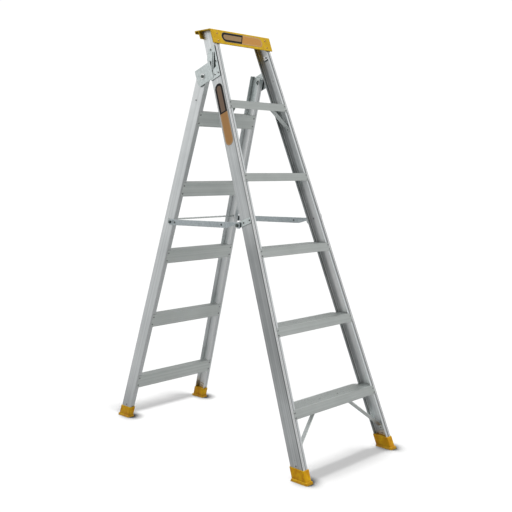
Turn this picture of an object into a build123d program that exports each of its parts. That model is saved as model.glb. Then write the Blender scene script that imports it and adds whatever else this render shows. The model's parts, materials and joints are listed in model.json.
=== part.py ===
from build123d import *
import os
from math import cos, hypot, radians, sin, tan

os.makedirs("parts", exist_ok=True)

# Stance. Leans are measured from the vertical, tapers from each section's centre line.
front_lean = 20.0
rear_lean = 17.4
front_taper = 3.765
rear_taper = 2.686
front_base_half = 275.0
cap_top = 1698.0

# Stile channels, open towards the middle of the ladder, with a raised rib on the front flange
front_depth = 60.0
front_flange = 25.0
front_rib = 10.0
rear_depth = 58.0
rear_flange = 23.0
rear_rib = 8.0
rib_height = 1.5
web = 2.0
flange_wall = 2.2
corner_radius = 1.5
fit_gap = 0.4

# Treads of the climbing section
tread_count = 5
first_tread = 250.0
top_tread_drop = 288.0
tread_depth = 78.0
tread_plate = 3.0
tread_skirt = 34.0
tread_sheet = 1.8
tread_lip = 20.0
tread_corner = 20.0
tread_corner_back = 16.0
groove_count = 7
groove_pitch = 9.0
groove_width = 4.0
groove_depth = 0.8

# Rungs of the rear section
rung_count = 5
first_rung = 150.0
top_rung_drop = 203.2
rung_height = 61.0
rung_flange = 22.0
rung_sheet = 1.8

# Cap
cap_side = 11.0
cap_wall = 4.0
cap_skirt = 62.0
cap_overhang = 20.0
cap_lip = 14.0
cap_rear_flange = 37.0
cap_radius = 3.0
cap_rivet_inset = 18.0
cap_rivet_high = 12.0
cap_rivet_low = 20.0

# Boots on the stile ends
boot_wall = 3.0
boot_top = 48.0
boot_floor = 8.0
sole_height = 9.0
sole_flare = 4.5
sole_taper = 20.0
boot_tongue = 2.0
boot_tongue_rise = 34.0
boot_plate = 3.0
boot_plate_edge = 8.0
boot_rivet_rise = 10.0

# Hinge at the top: heights are along a section's slope, depths run back from its front face
hinge_below_cap = 99.5
hinge_behind_stile = 41.5
rear_hinge_depth = 14.8
rear_stile_top = 19.0
bracket_sheet = 3.0
bracket_edge = 3.0
bracket_drop = 35.0
bracket_rise = 94.0
bracket_shoulder = 34.0
bracket_neck = 20.0
ear_drop = 32.0
ear_rise = 39.0
ear_root = 18.0
ear_behind_bolt = 38.0
ear_clip = 7.0
ear_clip_rise = 15.0
ridge_width = 6.5
ridge_height = 2.5
ridge_taper = 20.0
slot_width = 17.0
slot_tip = 4.0
pivot_radius = 4.0
running_gap = 0.05
side_gap = 0.3
bush_wall = 2.0
bush_collar = 4.8
bush_flange_radius = 11.0
bolt_head_radius = 6.0
bolt_head = 5.0
washer_radius = 12.0
washer_thickness = 1.5
nut_width = 13.0
hinge_nut_width = 18.0
nut_thickness = 6.5
insert_sheet = 3.0
insert_length = 136.0
bush_proud = 2.5
bolt_proud = 2.0

# Spreaders
stud_along = 1003.0
stud_behind_stile = 14.0
stud_radius = 4.0
stud_head_radius = 7.0
stud_head = 3.0
spreader_plate = 2.5
spreader_plate_height = 24.0
arm_pivot_along = 952.0
arm_pivot_depth = 12.0
arm_sheet = 4.0
arm_height = 24.0
arm_nose = 14.0
arm_side_gap = 0.6
pivot_washer = 3.0
joggle_start = 18.0
joggle_run = 28.0
hook_gap = 0.3
hook_ramp = 15.0
tie_rod_radius = 3.5
tie_rod_above_pivot = 5.0
tie_rod_behind_pivot = 18.0

# Knee braces
brace_width = 20.0
brace_sheet = 3.0
brace_tab = 18.0
lower_brace_run = 200.0
lower_brace_drop = 172.0
upper_brace_run = 88.0
upper_brace_drop = 100.0

# Rivets
rivet_radius = 2.0
rivet_head_radius = 4.2
rivet_head = 1.6
rivet_tail_radius = 3.2
rivet_tail = 1.4
rivet_gap = 0.05

# How far a cutting shape reaches past the piece that it trims
cut_margin = 100.0

# Plain labels
label_sheet = 0.4
stile_label_length = 262.0
stile_label_width = 45.0
stile_label_drop = 25.5
cap_label_margin = 22.0
cap_label_width = 42.0

# Derived frame: the ladder stands on the floor with its footprint centred on the origin
fl = radians(front_lean)
rl = radians(rear_lean)
ft = radians(front_taper)
rt = radians(rear_taper)
cap_front_low = cap_top / cos(fl) - cap_skirt
hinge_along = cap_front_low - hinge_below_cap
hinge_depth = front_depth + hinge_behind_stile
pivot_back = hinge_along * sin(fl) + hinge_depth * cos(fl)
pivot_z = hinge_along * cos(fl) - hinge_depth * sin(fl)
rear_face_z = pivot_z - rear_hinge_depth * sin(rl)
rear_hinge_along = rear_face_z / cos(rl)
base_spread = pivot_back - rear_hinge_depth * cos(rl) + rear_face_z * tan(rl)
front_reach = (rib_height + boot_wall) / cos(fl) + sole_flare
rear_reach = (rear_depth + boot_wall) / cos(rl) + sole_flare
front_y = (front_reach - base_spread - rear_reach) / 2
rear_y = front_y + base_spread
pivot_y = front_y + pivot_back

# Each section's plane: x across, y up the slope, z out of the front face
front_plane = Plane(origin=(0, front_y, 0), x_dir=(1, 0, 0), z_dir=(0, -cos(fl), sin(fl)))
rear_plane = Plane(origin=(0, rear_y, 0), x_dir=(1, 0, 0), z_dir=(0, -cos(rl), -sin(rl)))


def front_half(along):
    """Half the climbing section's width outside its webs."""
    return front_base_half - along * tan(ft)


# The rear section's width follows from the room between the hinge ears
bracket_low = hinge_along - bracket_drop
ear_half = front_half(bracket_low) + fit_gap
rear_base_half = ear_half - bush_collar + rear_hinge_along * tan(rt)


def rear_half(along):
    """Half the rear section's width outside its webs."""
    return rear_base_half - along * tan(rt)


def front_yz(depth, along):
    return (front_y + along * sin(fl) + depth * cos(fl), along * cos(fl) - depth * sin(fl))


def rear_yz(depth, along):
    return (rear_y - along * sin(rl) + depth * cos(rl), along * cos(rl) + depth * sin(rl))


def stile_plane(section, base_half, taper):
    """Section plane of a left stile: x inward, y back, z up the stile."""
    start = section.from_local_coords(Vector(-base_half, 0, 0))
    inward = section.x_dir * cos(taper) - section.y_dir * sin(taper)
    axis = section.x_dir * sin(taper) + section.y_dir * cos(taper)
    return Plane(origin=start, x_dir=inward, z_dir=axis)


def web_plane(stile):
    """Outer face of a left stile's web: x forward, y up the stile, z outward."""
    return Plane(origin=stile.origin, x_dir=-stile.y_dir, z_dir=-stile.x_dir)


def side_plane(section, x):
    """Upright plane across a section at one x: x forward, y up the slope, z to the left."""
    return Plane(origin=section.from_local_coords(Vector(x, 0, 0)), x_dir=section.z_dir, z_dir=(-1, 0, 0))


front_stile = stile_plane(front_plane, front_base_half, ft)
rear_stile = stile_plane(rear_plane, rear_base_half, rt)
front_web = web_plane(front_stile)
rear_web = web_plane(rear_stile)


def channel(depth, flange, rib):
    """Stile section in the current sketch."""
    Polygon(
        (0, -rib_height), (rib, -rib_height), (rib, 0), (flange, 0),
        (flange, flange_wall), (web, flange_wall),
        (web, depth - flange_wall), (flange, depth - flange_wall),
        (flange, depth), (0, depth),
        align=None,
    )


def drill(plane, spots, radius, reach):
    """Round holes through the current part, both ways from a plane."""
    with BuildSketch(plane) as holes:
        with Locations(*spots):
            Circle(radius)
    extrude(holes.sketch, amount=reach, both=True, mode=Mode.SUBTRACT)


def outboard(half, low, high, inset):
    """Everything outside a line that follows both stiles, in the current section sketch."""
    far = half(low) + cut_margin
    for side in (-1, 1):
        Polygon(
            (side * (half(low) - inset), low), (side * far, low),
            (side * far, high), (side * (half(high) - inset), high),
            align=None,
        )


def strip(half, low, high, inset):
    """Band across a section between two heights, with ends that follow the stiles."""
    Polygon(
        (-half(low) + inset, low), (half(low) - inset, low),
        (half(high) - inset, high), (-half(high) + inset, high),
        align=None,
    )


def seats(plane, points):
    """Fastener seats on a left-hand face and their mirror images on the right."""
    found = []
    for point in points:
        spot = plane.from_local_coords(Vector(*point))
        out = plane.z_dir
        found.append(Plane(origin=(spot.X, spot.Y, spot.Z), z_dir=(out.X, out.Y, out.Z)))
        found.append(Plane(origin=(-spot.X, spot.Y, spot.Z), z_dir=(-out.X, out.Y, out.Z)))
    return found


def rivets(places, grip, tail=rivet_tail):
    """Domed rivets with their heads on the given planes; one with no tail ends flush."""
    with BuildPart() as one:
        with BuildSketch(Plane.XZ):
            with BuildLine():
                ThreePointArc(
                    (0, rivet_head), (0.62 * rivet_head_radius, 0.76 * rivet_head), (rivet_head_radius, 0)
                )
                Polyline(
                    (rivet_head_radius, 0), (rivet_radius, 0), (rivet_radius, -grip),
                    (0, -grip), (0, rivet_head),
                )
            make_face()
            if tail > 0:
                with Locations((rivet_tail_radius / 2, -grip - tail / 2)):
                    Rectangle(rivet_tail_radius, tail)
        revolve(axis=Axis.Z)
    with BuildPart() as group:
        with Locations(*[Location(place) for place in places]):
            add(one.part)
    return group


def other_side(piece):
    with BuildPart() as copy:
        mirror(piece.part, about=Plane.YZ)
    return copy


def save(piece, name):
    piece.part.label = name
    export_step(piece.part, f"parts/{name}.step")


# Fastener spots on the left-hand side, shared by the pieces that each one holds together
rivet_hole = rivet_radius + rivet_gap
tread_rise = (cap_top - top_tread_drop - first_tread) / (tread_count - 1)
tread_levels = [first_tread + step * tread_rise for step in range(tread_count)]
tread_tops = [level / cos(fl) for level in tread_levels]
tread_rivet_rows = [top - tread_skirt + up for top in tread_tops for up in (7.0, 25.0)]
tread_rivet_inset = (front_rib + front_flange) / 2
tread_rivet_spots = [(-front_half(row) + tread_rivet_inset, row) for row in tread_rivet_rows]
rung_pitch = (rear_hinge_along - top_rung_drop - first_rung) / (rung_count - 1)
rung_lows = [first_rung + step * rung_pitch for step in range(rung_count)]
rung_rivet_rows = [low + up for low in rung_lows for up in (13.0, rung_height - 13.0)]
rung_rivet_inset = (rear_rib + rear_flange) / 2
rung_rivet_spots = [(-rear_half(row) + rung_rivet_inset, row) for row in rung_rivet_rows]
cap_half = front_half(cap_front_low) + cap_side
cap_label_row = cap_front_low + cap_skirt / 2
cap_rivet_rows = [cap_label_row + cap_rivet_high, cap_label_row - cap_rivet_low]
cap_rivet_spots = [(-front_half(row) + cap_rivet_inset, row) for row in cap_rivet_rows]
front_boot_rivet = (-front_depth / 2, boot_top / cos(fl) + front_depth / 2 * tan(fl) + boot_rivet_rise)
rear_boot_rivet = (-rear_depth / 2, boot_top / cos(rl) - rear_depth / 2 * tan(rl) + boot_rivet_rise)
bracket_high = hinge_along + bracket_rise
bracket_foot_row = bracket_low + 15.0
bracket_rivet_spots = [
    (-bracket_edge - 25.0, bracket_high - 8.0), (-bracket_edge - 6.5, hinge_along + 30.0),
    (-bracket_edge - 8.0, bracket_foot_row), (-bracket_edge - 29.0, bracket_foot_row),
]
stud_depth = front_depth + stud_behind_stile
bush_radius = pivot_radius + bush_wall
tie_rod_along = arm_pivot_along + tie_rod_above_pivot
tie_rod_depth = arm_pivot_depth + tie_rod_behind_pivot
spreader_rivet_spots = [(-7.5, stud_along / cos(ft)), (-42.0, stud_along / cos(ft))]
insert_top = (rear_hinge_along + rear_stile_top) / cos(rt)
insert_rivet = (-rear_depth / 2, insert_top - insert_length + 16.0)
rear_hinge_x = -rear_half(rear_hinge_along)
arm_pivot_x = -rear_half(arm_pivot_along)
arm_pivot_y, arm_pivot_z = rear_yz(arm_pivot_depth, arm_pivot_along)
stud_y, stud_z = front_yz(stud_depth, stud_along)
tie_rod_y, tie_rod_z = rear_yz(tie_rod_depth, tie_rod_along)
pivot_spot = (-hinge_depth, hinge_along)
rear_pivot_spot = (-rear_hinge_depth, rear_hinge_along)
arm_pivot_spot = (-arm_pivot_depth, arm_pivot_along)
tie_rod_spot = (-tie_rod_depth, tie_rod_along)
stud_spot = (-stud_depth, stud_along)


# Knee braces: flat bars in the section's slope, from under a tread to the inner face of a web
brace_depth = front_depth / 2
brace_plane = front_plane.offset(-brace_depth)


def web_face(along):
    """Inner face of the left web, across the section."""
    return -front_half(along) + web / cos(ft)


def build_brace(level, run, drop):
    under = level - tread_plate
    high = (under + brace_depth * sin(fl)) / cos(fl)
    foot = high - drop
    end = foot - brace_tab
    slope = drop / run
    thick = brace_sheet * hypot(1, slope)
    sheet_x = brace_sheet / cos(ft)
    bend = foot + sheet_x * slope - thick
    top_x = web_face(foot) + run
    tab_y = front_yz(brace_depth, high)[0]
    with BuildPart() as brace:
        with BuildSketch(brace_plane):
            Polygon(
                (web_face(end), end), (web_face(foot), foot),
                (top_x + brace_width, high + brace_width * slope),
                (top_x + brace_width, high + brace_width * slope - thick),
                (web_face(bend) + sheet_x, bend), (web_face(end) + sheet_x, end), align=None,
            )
        extrude(amount=brace_width / 2, both=True)
        split(bisect_by=Plane.XY.offset(under), keep=Keep.BOTTOM)
        with BuildSketch(Plane.XY.offset(under)):
            with Locations((top_x + brace_tab / 2, tab_y)):
                Rectangle(brace_tab, brace_width)
        extrude(amount=-brace_sheet)
        drill(Plane.XY.offset(under), [(top_x + brace_tab - 7, tab_y)], rivet_hole, 10)
        drill(front_web, [(-brace_depth, (end + 9) / cos(ft))], rivet_hole, 20)
    return brace, (top_x + brace_tab - 7, tab_y, under), (-brace_depth, (end + 9) / cos(ft))


lower_brace_left, lower_tread_spot, lower_web_spot = build_brace(
    tread_levels[0], lower_brace_run, lower_brace_drop)
upper_brace_left, upper_tread_spot, upper_web_spot = build_brace(
    tread_levels[-1], upper_brace_run, upper_brace_drop)
brace_web_spots = [lower_web_spot, upper_web_spot]
brace_tread_spots = [lower_tread_spot, upper_tread_spot]
save(lower_brace_left, "lower_brace_left")
save(upper_brace_left, "upper_brace_left")
save(other_side(lower_brace_left), "lower_brace_right")
save(other_side(upper_brace_left), "upper_brace_right")


# Stiles
with BuildPart() as front_stile_left:
    with BuildSketch(front_stile.offset(-front_depth)) as profile:
        channel(front_depth, front_flange, front_rib)
        fillet(profile.vertices().filter_by_position(Axis.X, -0.01, 0.01), corner_radius)
        with Locations((front_rib / 2, -rib_height)):
            Rectangle(2.0, 1.2, mode=Mode.SUBTRACT)
    extrude(amount=cap_top / cos(fl) + 3 * front_depth)
    split(bisect_by=Plane.XY.offset(boot_floor), keep=Keep.TOP)
    split(bisect_by=Plane.XY.offset(cap_top - cap_wall), keep=Keep.BOTTOM)
    drill(front_plane, tread_rivet_spots + cap_rivet_spots, rivet_hole, 8)
    drill(front_web, [front_boot_rivet] + brace_web_spots, rivet_hole, 8)
    drill(front_web, bracket_rivet_spots + spreader_rivet_spots, rivet_hole, 8)
save(front_stile_left, "front_stile_left")
front_stile_right = other_side(front_stile_left)
save(front_stile_right, "front_stile_right")

with BuildPart() as rear_stile_left:
    with BuildSketch(rear_stile.offset(-rear_depth)) as profile:
        channel(rear_depth, rear_flange, rear_rib)
        fillet(profile.vertices().filter_by_position(Axis.X, -0.01, 0.01), corner_radius)
    extrude(amount=insert_top + rear_depth)
    split(bisect_by=Plane.XY.offset(boot_floor), keep=Keep.TOP)
    drill(rear_plane, rung_rivet_spots, rivet_hole, 8)
    drill(rear_web, [rear_boot_rivet, insert_rivet], rivet_hole, 8)
    drill(side_plane(rear_plane, rear_hinge_x), [rear_pivot_spot], bush_radius + running_gap, rear_flange)
    drill(side_plane(rear_plane, arm_pivot_x), [arm_pivot_spot], pivot_radius + running_gap, rear_flange)
    drill(side_plane(rear_plane, arm_pivot_x), [tie_rod_spot], tie_rod_radius + running_gap, rear_flange)
save(rear_stile_left, "rear_stile_left")
rear_stile_right = other_side(rear_stile_left)
save(rear_stile_right, "rear_stile_right")


# Boots
def build_boot(stile, channel_part, depth, flange, low_half, section_y, lean, rivet_spot):
    front_edge = section_y - (rib_height + boot_wall) / cos(lean) - sole_flare
    back_edge = section_y + (depth + boot_wall) / cos(lean) + sole_flare
    outer = -low_half - boot_wall - sole_flare
    inner = -low_half + flange + boot_wall + sole_flare
    with BuildPart() as boot:
        with BuildSketch(stile.offset(-depth)):
            with Locations((flange / 2, (depth - rib_height) / 2)):
                RectangleRounded(flange + 2 * boot_wall, depth + rib_height + 2 * boot_wall, boot_wall)
        extrude(amount=3 * depth)
        split(bisect_by=Plane.XY, keep=Keep.TOP)
        split(bisect_by=Plane.XY.offset(boot_top), keep=Keep.BOTTOM)
        with BuildSketch(Plane.XY):
            with Locations(((outer + inner) / 2, (front_edge + back_edge) / 2)):
                RectangleRounded(inner - outer, back_edge - front_edge, sole_flare)
        extrude(amount=sole_height, taper=sole_taper)
        with BuildSketch(stile.offset(rivet_spot[1] - boot_tongue_rise)):
            with Locations((web + boot_tongue / 2, depth / 2)):
                Rectangle(boot_tongue, depth - 26)
        extrude(amount=boot_tongue_rise + boot_plate_edge)
        add(channel_part, mode=Mode.SUBTRACT)
        drill(web_plane(stile), [rivet_spot], rivet_hole, 12)
    return boot


def build_plate(stile, depth, rivet_spot):
    """Backing plate behind a boot's tongue, its foot resting on the boot."""
    with BuildPart() as plate:
        with BuildSketch(stile.offset(rivet_spot[1] - boot_tongue_rise)):
            with Locations((web + boot_tongue + boot_plate / 2, depth / 2)):
                Rectangle(boot_plate, depth - 26)
        extrude(amount=boot_tongue_rise + boot_plate_edge)
        split(bisect_by=Plane.XY.offset(boot_top), keep=Keep.TOP)
        drill(web_plane(stile), [rivet_spot], rivet_hole, 12)
    return plate


front_foot_left = build_boot(
    front_stile, front_stile_left.part, front_depth, front_flange,
    front_base_half, front_y, fl, front_boot_rivet)
rear_foot_left = build_boot(
    rear_stile, rear_stile_left.part, rear_depth, rear_flange,
    rear_base_half, rear_y, rl, rear_boot_rivet)
save(front_foot_left, "front_foot_left")
save(rear_foot_left, "rear_foot_left")
save(other_side(front_foot_left), "front_foot_right")
save(other_side(rear_foot_left), "rear_foot_right")
front_foot_plate = build_plate(front_stile, front_depth, front_boot_rivet)
rear_foot_plate = build_plate(rear_stile, rear_depth, rear_boot_rivet)
save(front_foot_plate, "front_foot_plate_left")
save(rear_foot_plate, "rear_foot_plate_left")
save(other_side(front_foot_plate), "front_foot_plate_right")
save(other_side(rear_foot_plate), "rear_foot_plate_right")
boot_grip = web + boot_tongue + boot_plate
save(rivets(seats(front_web, [front_boot_rivet]), boot_grip), "front_foot_rivets")
save(rivets(seats(rear_web, [rear_boot_rivet]), boot_grip), "rear_foot_rivets")


# Treads
def build_tread(level):
    top = level / cos(fl)
    low = top - tread_skirt
    edge_y = front_y + level * tan(fl)
    nose = tread_sheet / cos(fl)
    back_y = edge_y + tread_depth
    high = top + tread_depth * sin(fl) + 5
    reach = front_half(low)
    with BuildPart() as tread:
        with BuildSketch(Plane.YZ):
            Polygon(
                (edge_y - nose, level), (back_y, level), (back_y, level - tread_plate),
                (edge_y - nose - tread_plate * tan(fl), level - tread_plate),
                align=None,
            )
            with Locations((back_y - tread_sheet / 2, level - tread_lip / 2)):
                Rectangle(tread_sheet, tread_lip)
            with Locations(Location((edge_y + tread_depth / 2, level))):
                with GridLocations(groove_pitch, 1, groove_count, 1):
                    Rectangle(groove_width, 2 * groove_depth, mode=Mode.SUBTRACT)
        extrude(amount=reach, both=True)
        # Room for the stiles: web, front flange, then the rear flange and all behind it
        with BuildSketch(front_plane):
            outboard(front_half, low, high, web / cos(ft) + fit_gap)
        extrude(amount=-2 * tread_depth, mode=Mode.SUBTRACT)
        with BuildSketch(front_plane.offset(tread_sheet + 1)):
            outboard(front_half, low, high, front_flange / cos(ft) + fit_gap)
        extrude(amount=-(tread_sheet + 1 + flange_wall + fit_gap), mode=Mode.SUBTRACT)
        with BuildSketch(front_plane.offset(-(front_depth - flange_wall - fit_gap))):
            outboard(front_half, low, high, front_flange / cos(ft) + fit_gap)
        extrude(amount=-tread_depth, mode=Mode.SUBTRACT)
        # Rear corners cut off behind the stiles
        with BuildSketch(Plane.XY.offset(level + 1)):
            for side in (-1, 1):
                wide = front_half(top) - front_flange
                far = wide + cut_margin
                Polygon(
                    (side * (wide - tread_corner), back_y), (side * far, back_y),
                    (side * far, back_y - tread_corner_back), (side * wide, back_y - tread_corner_back),
                    align=None,
                )
        extrude(amount=-(tread_lip + 2), mode=Mode.SUBTRACT)
        # Skirt over the front flanges
        with BuildSketch(front_plane):
            strip(front_half, low, top, front_rib / cos(ft) + fit_gap)
        extrude(amount=tread_sheet)
        holes = [(side * x, y) for x, y in tread_rivet_spots for side in (-1, 1) if low < y < top]
        drill(front_plane, holes, rivet_hole, 8)
        for spot in brace_tread_spots:
            if abs(spot[2] - level) < tread_skirt:
                drill(Plane.XY.offset(level), [(spot[0], spot[1]), (-spot[0], spot[1])], rivet_hole, 8)
    return tread


for number, level in enumerate(tread_levels, 1):
    save(build_tread(level), f"front_tread_{number}")
tread_seats = seats(front_plane.offset(tread_sheet), [(x, y, 0) for x, y in tread_rivet_spots])
save(rivets(tread_seats, tread_sheet + flange_wall), "front_tread_rivets")


# Rungs
def build_rung(low):
    high = low + rung_height
    inset = rear_flange / cos(rt) + fit_gap
    with BuildPart() as rung:
        with BuildSketch(rear_plane):
            strip(rear_half, low, high, rear_rib / cos(rt) + fit_gap)
        extrude(amount=rung_sheet)
        with BuildSketch(rear_plane):
            strip(rear_half, low, low + rung_sheet, inset)
            strip(rear_half, high - rung_sheet, high, inset)
        extrude(amount=-rung_flange)
        holes = [(side * x, y) for x, y in rung_rivet_spots for side in (-1, 1) if low < y < high]
        drill(rear_plane, holes, rivet_hole, 8)
    return rung


for number, low in enumerate(rung_lows, 1):
    save(build_rung(low), f"rear_tread_{number}")
rung_seats = seats(rear_plane.offset(rung_sheet), [(x, y, 0) for x, y in rung_rivet_spots])
save(rivets(rung_seats, rung_sheet + flange_wall), "rear_tread_rivets")


# Cap: front skirt on the ribs, a flange behind the stiles and an overhanging rear lip
cap_face = -(rib_height + cap_wall)
cap_back = front_depth + cap_wall + cap_overhang


def cap_line(depth, below):
    """Where a line at one depth meets the level that far below the cap's top face."""
    return front_yz(depth, (cap_top - below + depth * sin(fl)) / cos(fl))


def cap_leg(outer, inner, length):
    """Leg of the cap parallel to the stiles, from its top face down."""
    end = (cap_top + inner * sin(fl)) / cos(fl) - length
    Polygon(cap_line(outer, 0), cap_line(inner, 0), front_yz(inner, end), front_yz(outer, end), align=None)


with BuildPart() as top_cap:
    with BuildSketch(Plane.YZ):
        Polygon(
            cap_line(cap_face, 0), cap_line(cap_back, 0), cap_line(cap_back, cap_wall),
            cap_line(cap_face, cap_wall), align=None,
        )
        cap_leg(cap_face, -rib_height, cap_skirt)
        cap_leg(front_depth, front_depth + cap_wall, cap_rear_flange)
        cap_leg(cap_back - cap_wall, cap_back, cap_lip)
    extrude(amount=cap_half, both=True)
    fillet(top_cap.edges().filter_by(Axis.X).group_by(Axis.Z)[-1], cap_radius)
    drill(front_plane, cap_rivet_spots + [(-x, y) for x, y in cap_rivet_spots], rivet_hole, 10)
save(top_cap, "top_cap")
cap_seats = seats(front_plane.offset(-cap_face), [(x, y, 0) for x, y in cap_rivet_spots])
save(rivets(cap_seats, cap_wall + rib_height + flange_wall), "cap_rivets")

brace_tread_seats = []
for side in (-1, 1):
    for x, y, z in brace_tread_spots:
        brace_tread_seats.append(Plane(origin=(side * x, y, z - brace_sheet), z_dir=(0, 0, -1)))
brace_face = Plane(origin=front_web.origin, x_dir=-front_web.x_dir, z_dir=-front_web.z_dir)
brace_web_seats = seats(brace_face.offset(web + brace_sheet), [(-x, y, 0) for x, y in brace_web_spots])
save(rivets(brace_web_seats, web + brace_sheet, tail=0), "brace_web_rivets")
save(rivets(brace_tread_seats, brace_sheet + tread_plate), "brace_tread_rivets")


# Hinge brackets: a plate on the web, a folded ridge beside a tapering slot, and an upright ear
ear_inner = -ear_half
ear_outer = ear_inner - bracket_sheet
ear_plane = side_plane(front_plane, ear_inner)
ear_start = front_depth - ear_root
ear_end = hinge_depth + ear_behind_bolt
ear_low = hinge_along - ear_drop
ear_high = hinge_along + ear_rise
ridge_top = (bracket_edge + 15.0, hinge_along + 72.0)
ridge_foot = (ear_start - 1.0, hinge_along + 2.0)
slot_top = (ridge_top[0] - ridge_width, ridge_top[1] - 3.0)
slot_foot = (ridge_foot[0] - ridge_width, ridge_foot[1] + 3.0)
with BuildPart() as hinge_bracket_left:
    with BuildSketch(front_web):
        Polygon(
            (-bracket_edge, bracket_low), (-front_depth, bracket_low),
            (-front_depth, bracket_high - bracket_shoulder), (bracket_neck - front_depth, bracket_high),
            (-bracket_edge, bracket_high), align=None,
        )
        Polygon(
            (-slot_top[0], slot_top[1]), (-slot_foot[0], slot_foot[1]),
            (slot_width - slot_foot[0], slot_foot[1] + slot_tip), (slot_tip - slot_top[0], slot_top[1]),
            align=None, mode=Mode.SUBTRACT,
        )
    extrude(amount=bracket_sheet)
    with BuildSketch(front_web.offset(bracket_sheet)):
        Polygon(
            (-ridge_top[0], ridge_top[1]), (-ridge_top[0] - ridge_width, ridge_top[1]),
            (-ridge_foot[0] - ridge_width, ridge_foot[1]), (-ridge_foot[0], ridge_foot[1]), align=None,
        )
    extrude(amount=ridge_height, taper=ridge_taper)
    with BuildSketch(ear_plane):
        Polygon(
            (-ear_start, ear_low), (ear_clip - ear_end, ear_low), (-ear_end, ear_low + ear_clip_rise),
            (-ear_end, ear_high), (-ear_start, ear_high), align=None,
        )
    extrude(amount=bracket_sheet)
    # Fold between the ear and the plate, trimmed to the web's slope
    with BuildSketch(ear_plane.offset(bracket_sheet)):
        Polygon(
            (-ear_start, ear_low), (-front_depth, ear_low), (-front_depth, ear_high), (-ear_start, ear_high),
            align=None,
        )
    extrude(amount=-front_flange / 2)
    with BuildSketch(front_web):
        with Locations((-front_depth / 2, hinge_along)):
            Rectangle(front_depth, 2 * cut_margin)
    extrude(amount=-front_flange, mode=Mode.SUBTRACT)
    drill(ear_plane, [pivot_spot], pivot_radius + running_gap, bracket_sheet + 1)
    drill(front_web, bracket_rivet_spots, rivet_hole, bracket_sheet + 1)
save(hinge_bracket_left, "hinge_bracket_left")
save(other_side(hinge_bracket_left), "hinge_bracket_right")
bracket_seats = seats(front_web.offset(bracket_sheet), [(x, y, 0) for x, y in bracket_rivet_spots])
save(rivets(bracket_seats, bracket_sheet + web), "hinge_bracket_rivets")


def along_x(y, z, x):
    """Plane across the ladder's width at one x, for turned pieces on an axle line."""
    return Plane(origin=(x, y, z), x_dir=(0, 1, 0), z_dir=(1, 0, 0))


def disc(y, z, start, end, radius):
    """Turned step of the current part between two x positions."""
    with BuildSketch(along_x(y, z, start)) as face:
        Circle(radius)
    extrude(face.sketch, amount=end - start)


def pair(piece):
    """A left-hand piece with its mirror image, as one group of separate solids."""
    with BuildPart() as both:
        add(piece.part)
        mirror(piece.part, about=Plane.YZ)
    return both


bush_inner = rear_hinge_x + web + insert_sheet + bush_proud
nut_start = bush_inner + fit_gap
head_start = ear_outer - washer_thickness
with BuildPart() as hinge_bolt:
    disc(pivot_y, pivot_z, head_start - bolt_head, head_start, bolt_head_radius)
    fillet(hinge_bolt.edges().filter_by(GeomType.CIRCLE).sort_by(Axis.X)[0], 1.5)
    disc(pivot_y, pivot_z, head_start, nut_start + nut_thickness + bolt_proud, pivot_radius)
save(pair(hinge_bolt), "hinge_bolts")
with BuildPart() as hinge_washer:
    disc(pivot_y, pivot_z, head_start, ear_outer, washer_radius)
    with BuildSketch(along_x(pivot_y, pivot_z, ear_outer)):
        Circle(pivot_radius + running_gap)
    extrude(amount=2 * washer_thickness, both=True, mode=Mode.SUBTRACT)
save(pair(hinge_washer), "hinge_washers")
with BuildPart() as hinge_nut:
    with BuildSketch(along_x(pivot_y, pivot_z, nut_start)):
        RegularPolygon(hinge_nut_width / 2, 6, major_radius=False)
        Circle(pivot_radius + running_gap, mode=Mode.SUBTRACT)
    extrude(amount=nut_thickness)
save(pair(hinge_nut), "hinge_nuts")
with BuildPart() as hinge_bush:
    disc(pivot_y, pivot_z, ear_inner + side_gap, rear_hinge_x + web / 2, bush_flange_radius)
    add(rear_stile_left.part, mode=Mode.SUBTRACT)
    disc(pivot_y, pivot_z, ear_inner + side_gap, bush_inner, bush_radius)
    with BuildSketch(along_x(pivot_y, pivot_z, ear_inner)):
        Circle(pivot_radius + running_gap)
    extrude(amount=cut_margin, both=True, mode=Mode.SUBTRACT)
save(pair(hinge_bush), "hinge_bushes")
with BuildPart() as rear_insert_left:
    with BuildSketch(rear_web.offset(-web)):
        with Locations((-rear_depth / 2, insert_top - insert_length / 2)):
            Rectangle(rear_depth - 2 * flange_wall - 2 * fit_gap, insert_length)
    extrude(amount=-insert_sheet)
    drill(side_plane(rear_plane, rear_hinge_x), [rear_pivot_spot], bush_radius + running_gap, rear_flange)
    drill(rear_web, [insert_rivet], rivet_hole, rear_flange)
save(rear_insert_left, "rear_insert_left")
save(other_side(rear_insert_left), "rear_insert_right")
save(rivets(seats(rear_web, [insert_rivet]), web + insert_sheet), "rear_insert_rivets")


# Spreader brackets and studs
bracket_along = stud_along / cos(ft)
stud_neck = stud_radius - 1.0
spreader_plate_length = stud_depth + spreader_plate_height / 2
stud_seat = -front_half(stud_along) - spreader_plate / cos(ft)
arm_inner = stud_seat - rivet_head - arm_side_gap
arm_outer = arm_inner - arm_sheet
with BuildPart() as spreader_bracket_left:
    with BuildSketch(front_web):
        with Locations((-spreader_plate_length / 2, bracket_along)):
            RectangleRounded(spreader_plate_length, spreader_plate_height, spreader_plate_height / 3)
    extrude(amount=spreader_plate)
    drill(front_web, spreader_rivet_spots, rivet_hole, 2 * spreader_plate)
    drill(side_plane(front_plane, stud_seat), [stud_spot], stud_neck + rivet_gap, 4 * spreader_plate)
save(spreader_bracket_left, "spreader_bracket_left")
save(other_side(spreader_bracket_left), "spreader_bracket_right")
spreader_seats = seats(front_web.offset(spreader_plate), [(x, y, 0) for x, y in spreader_rivet_spots])
save(rivets(spreader_seats, spreader_plate + web), "spreader_bracket_rivets")
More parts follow.
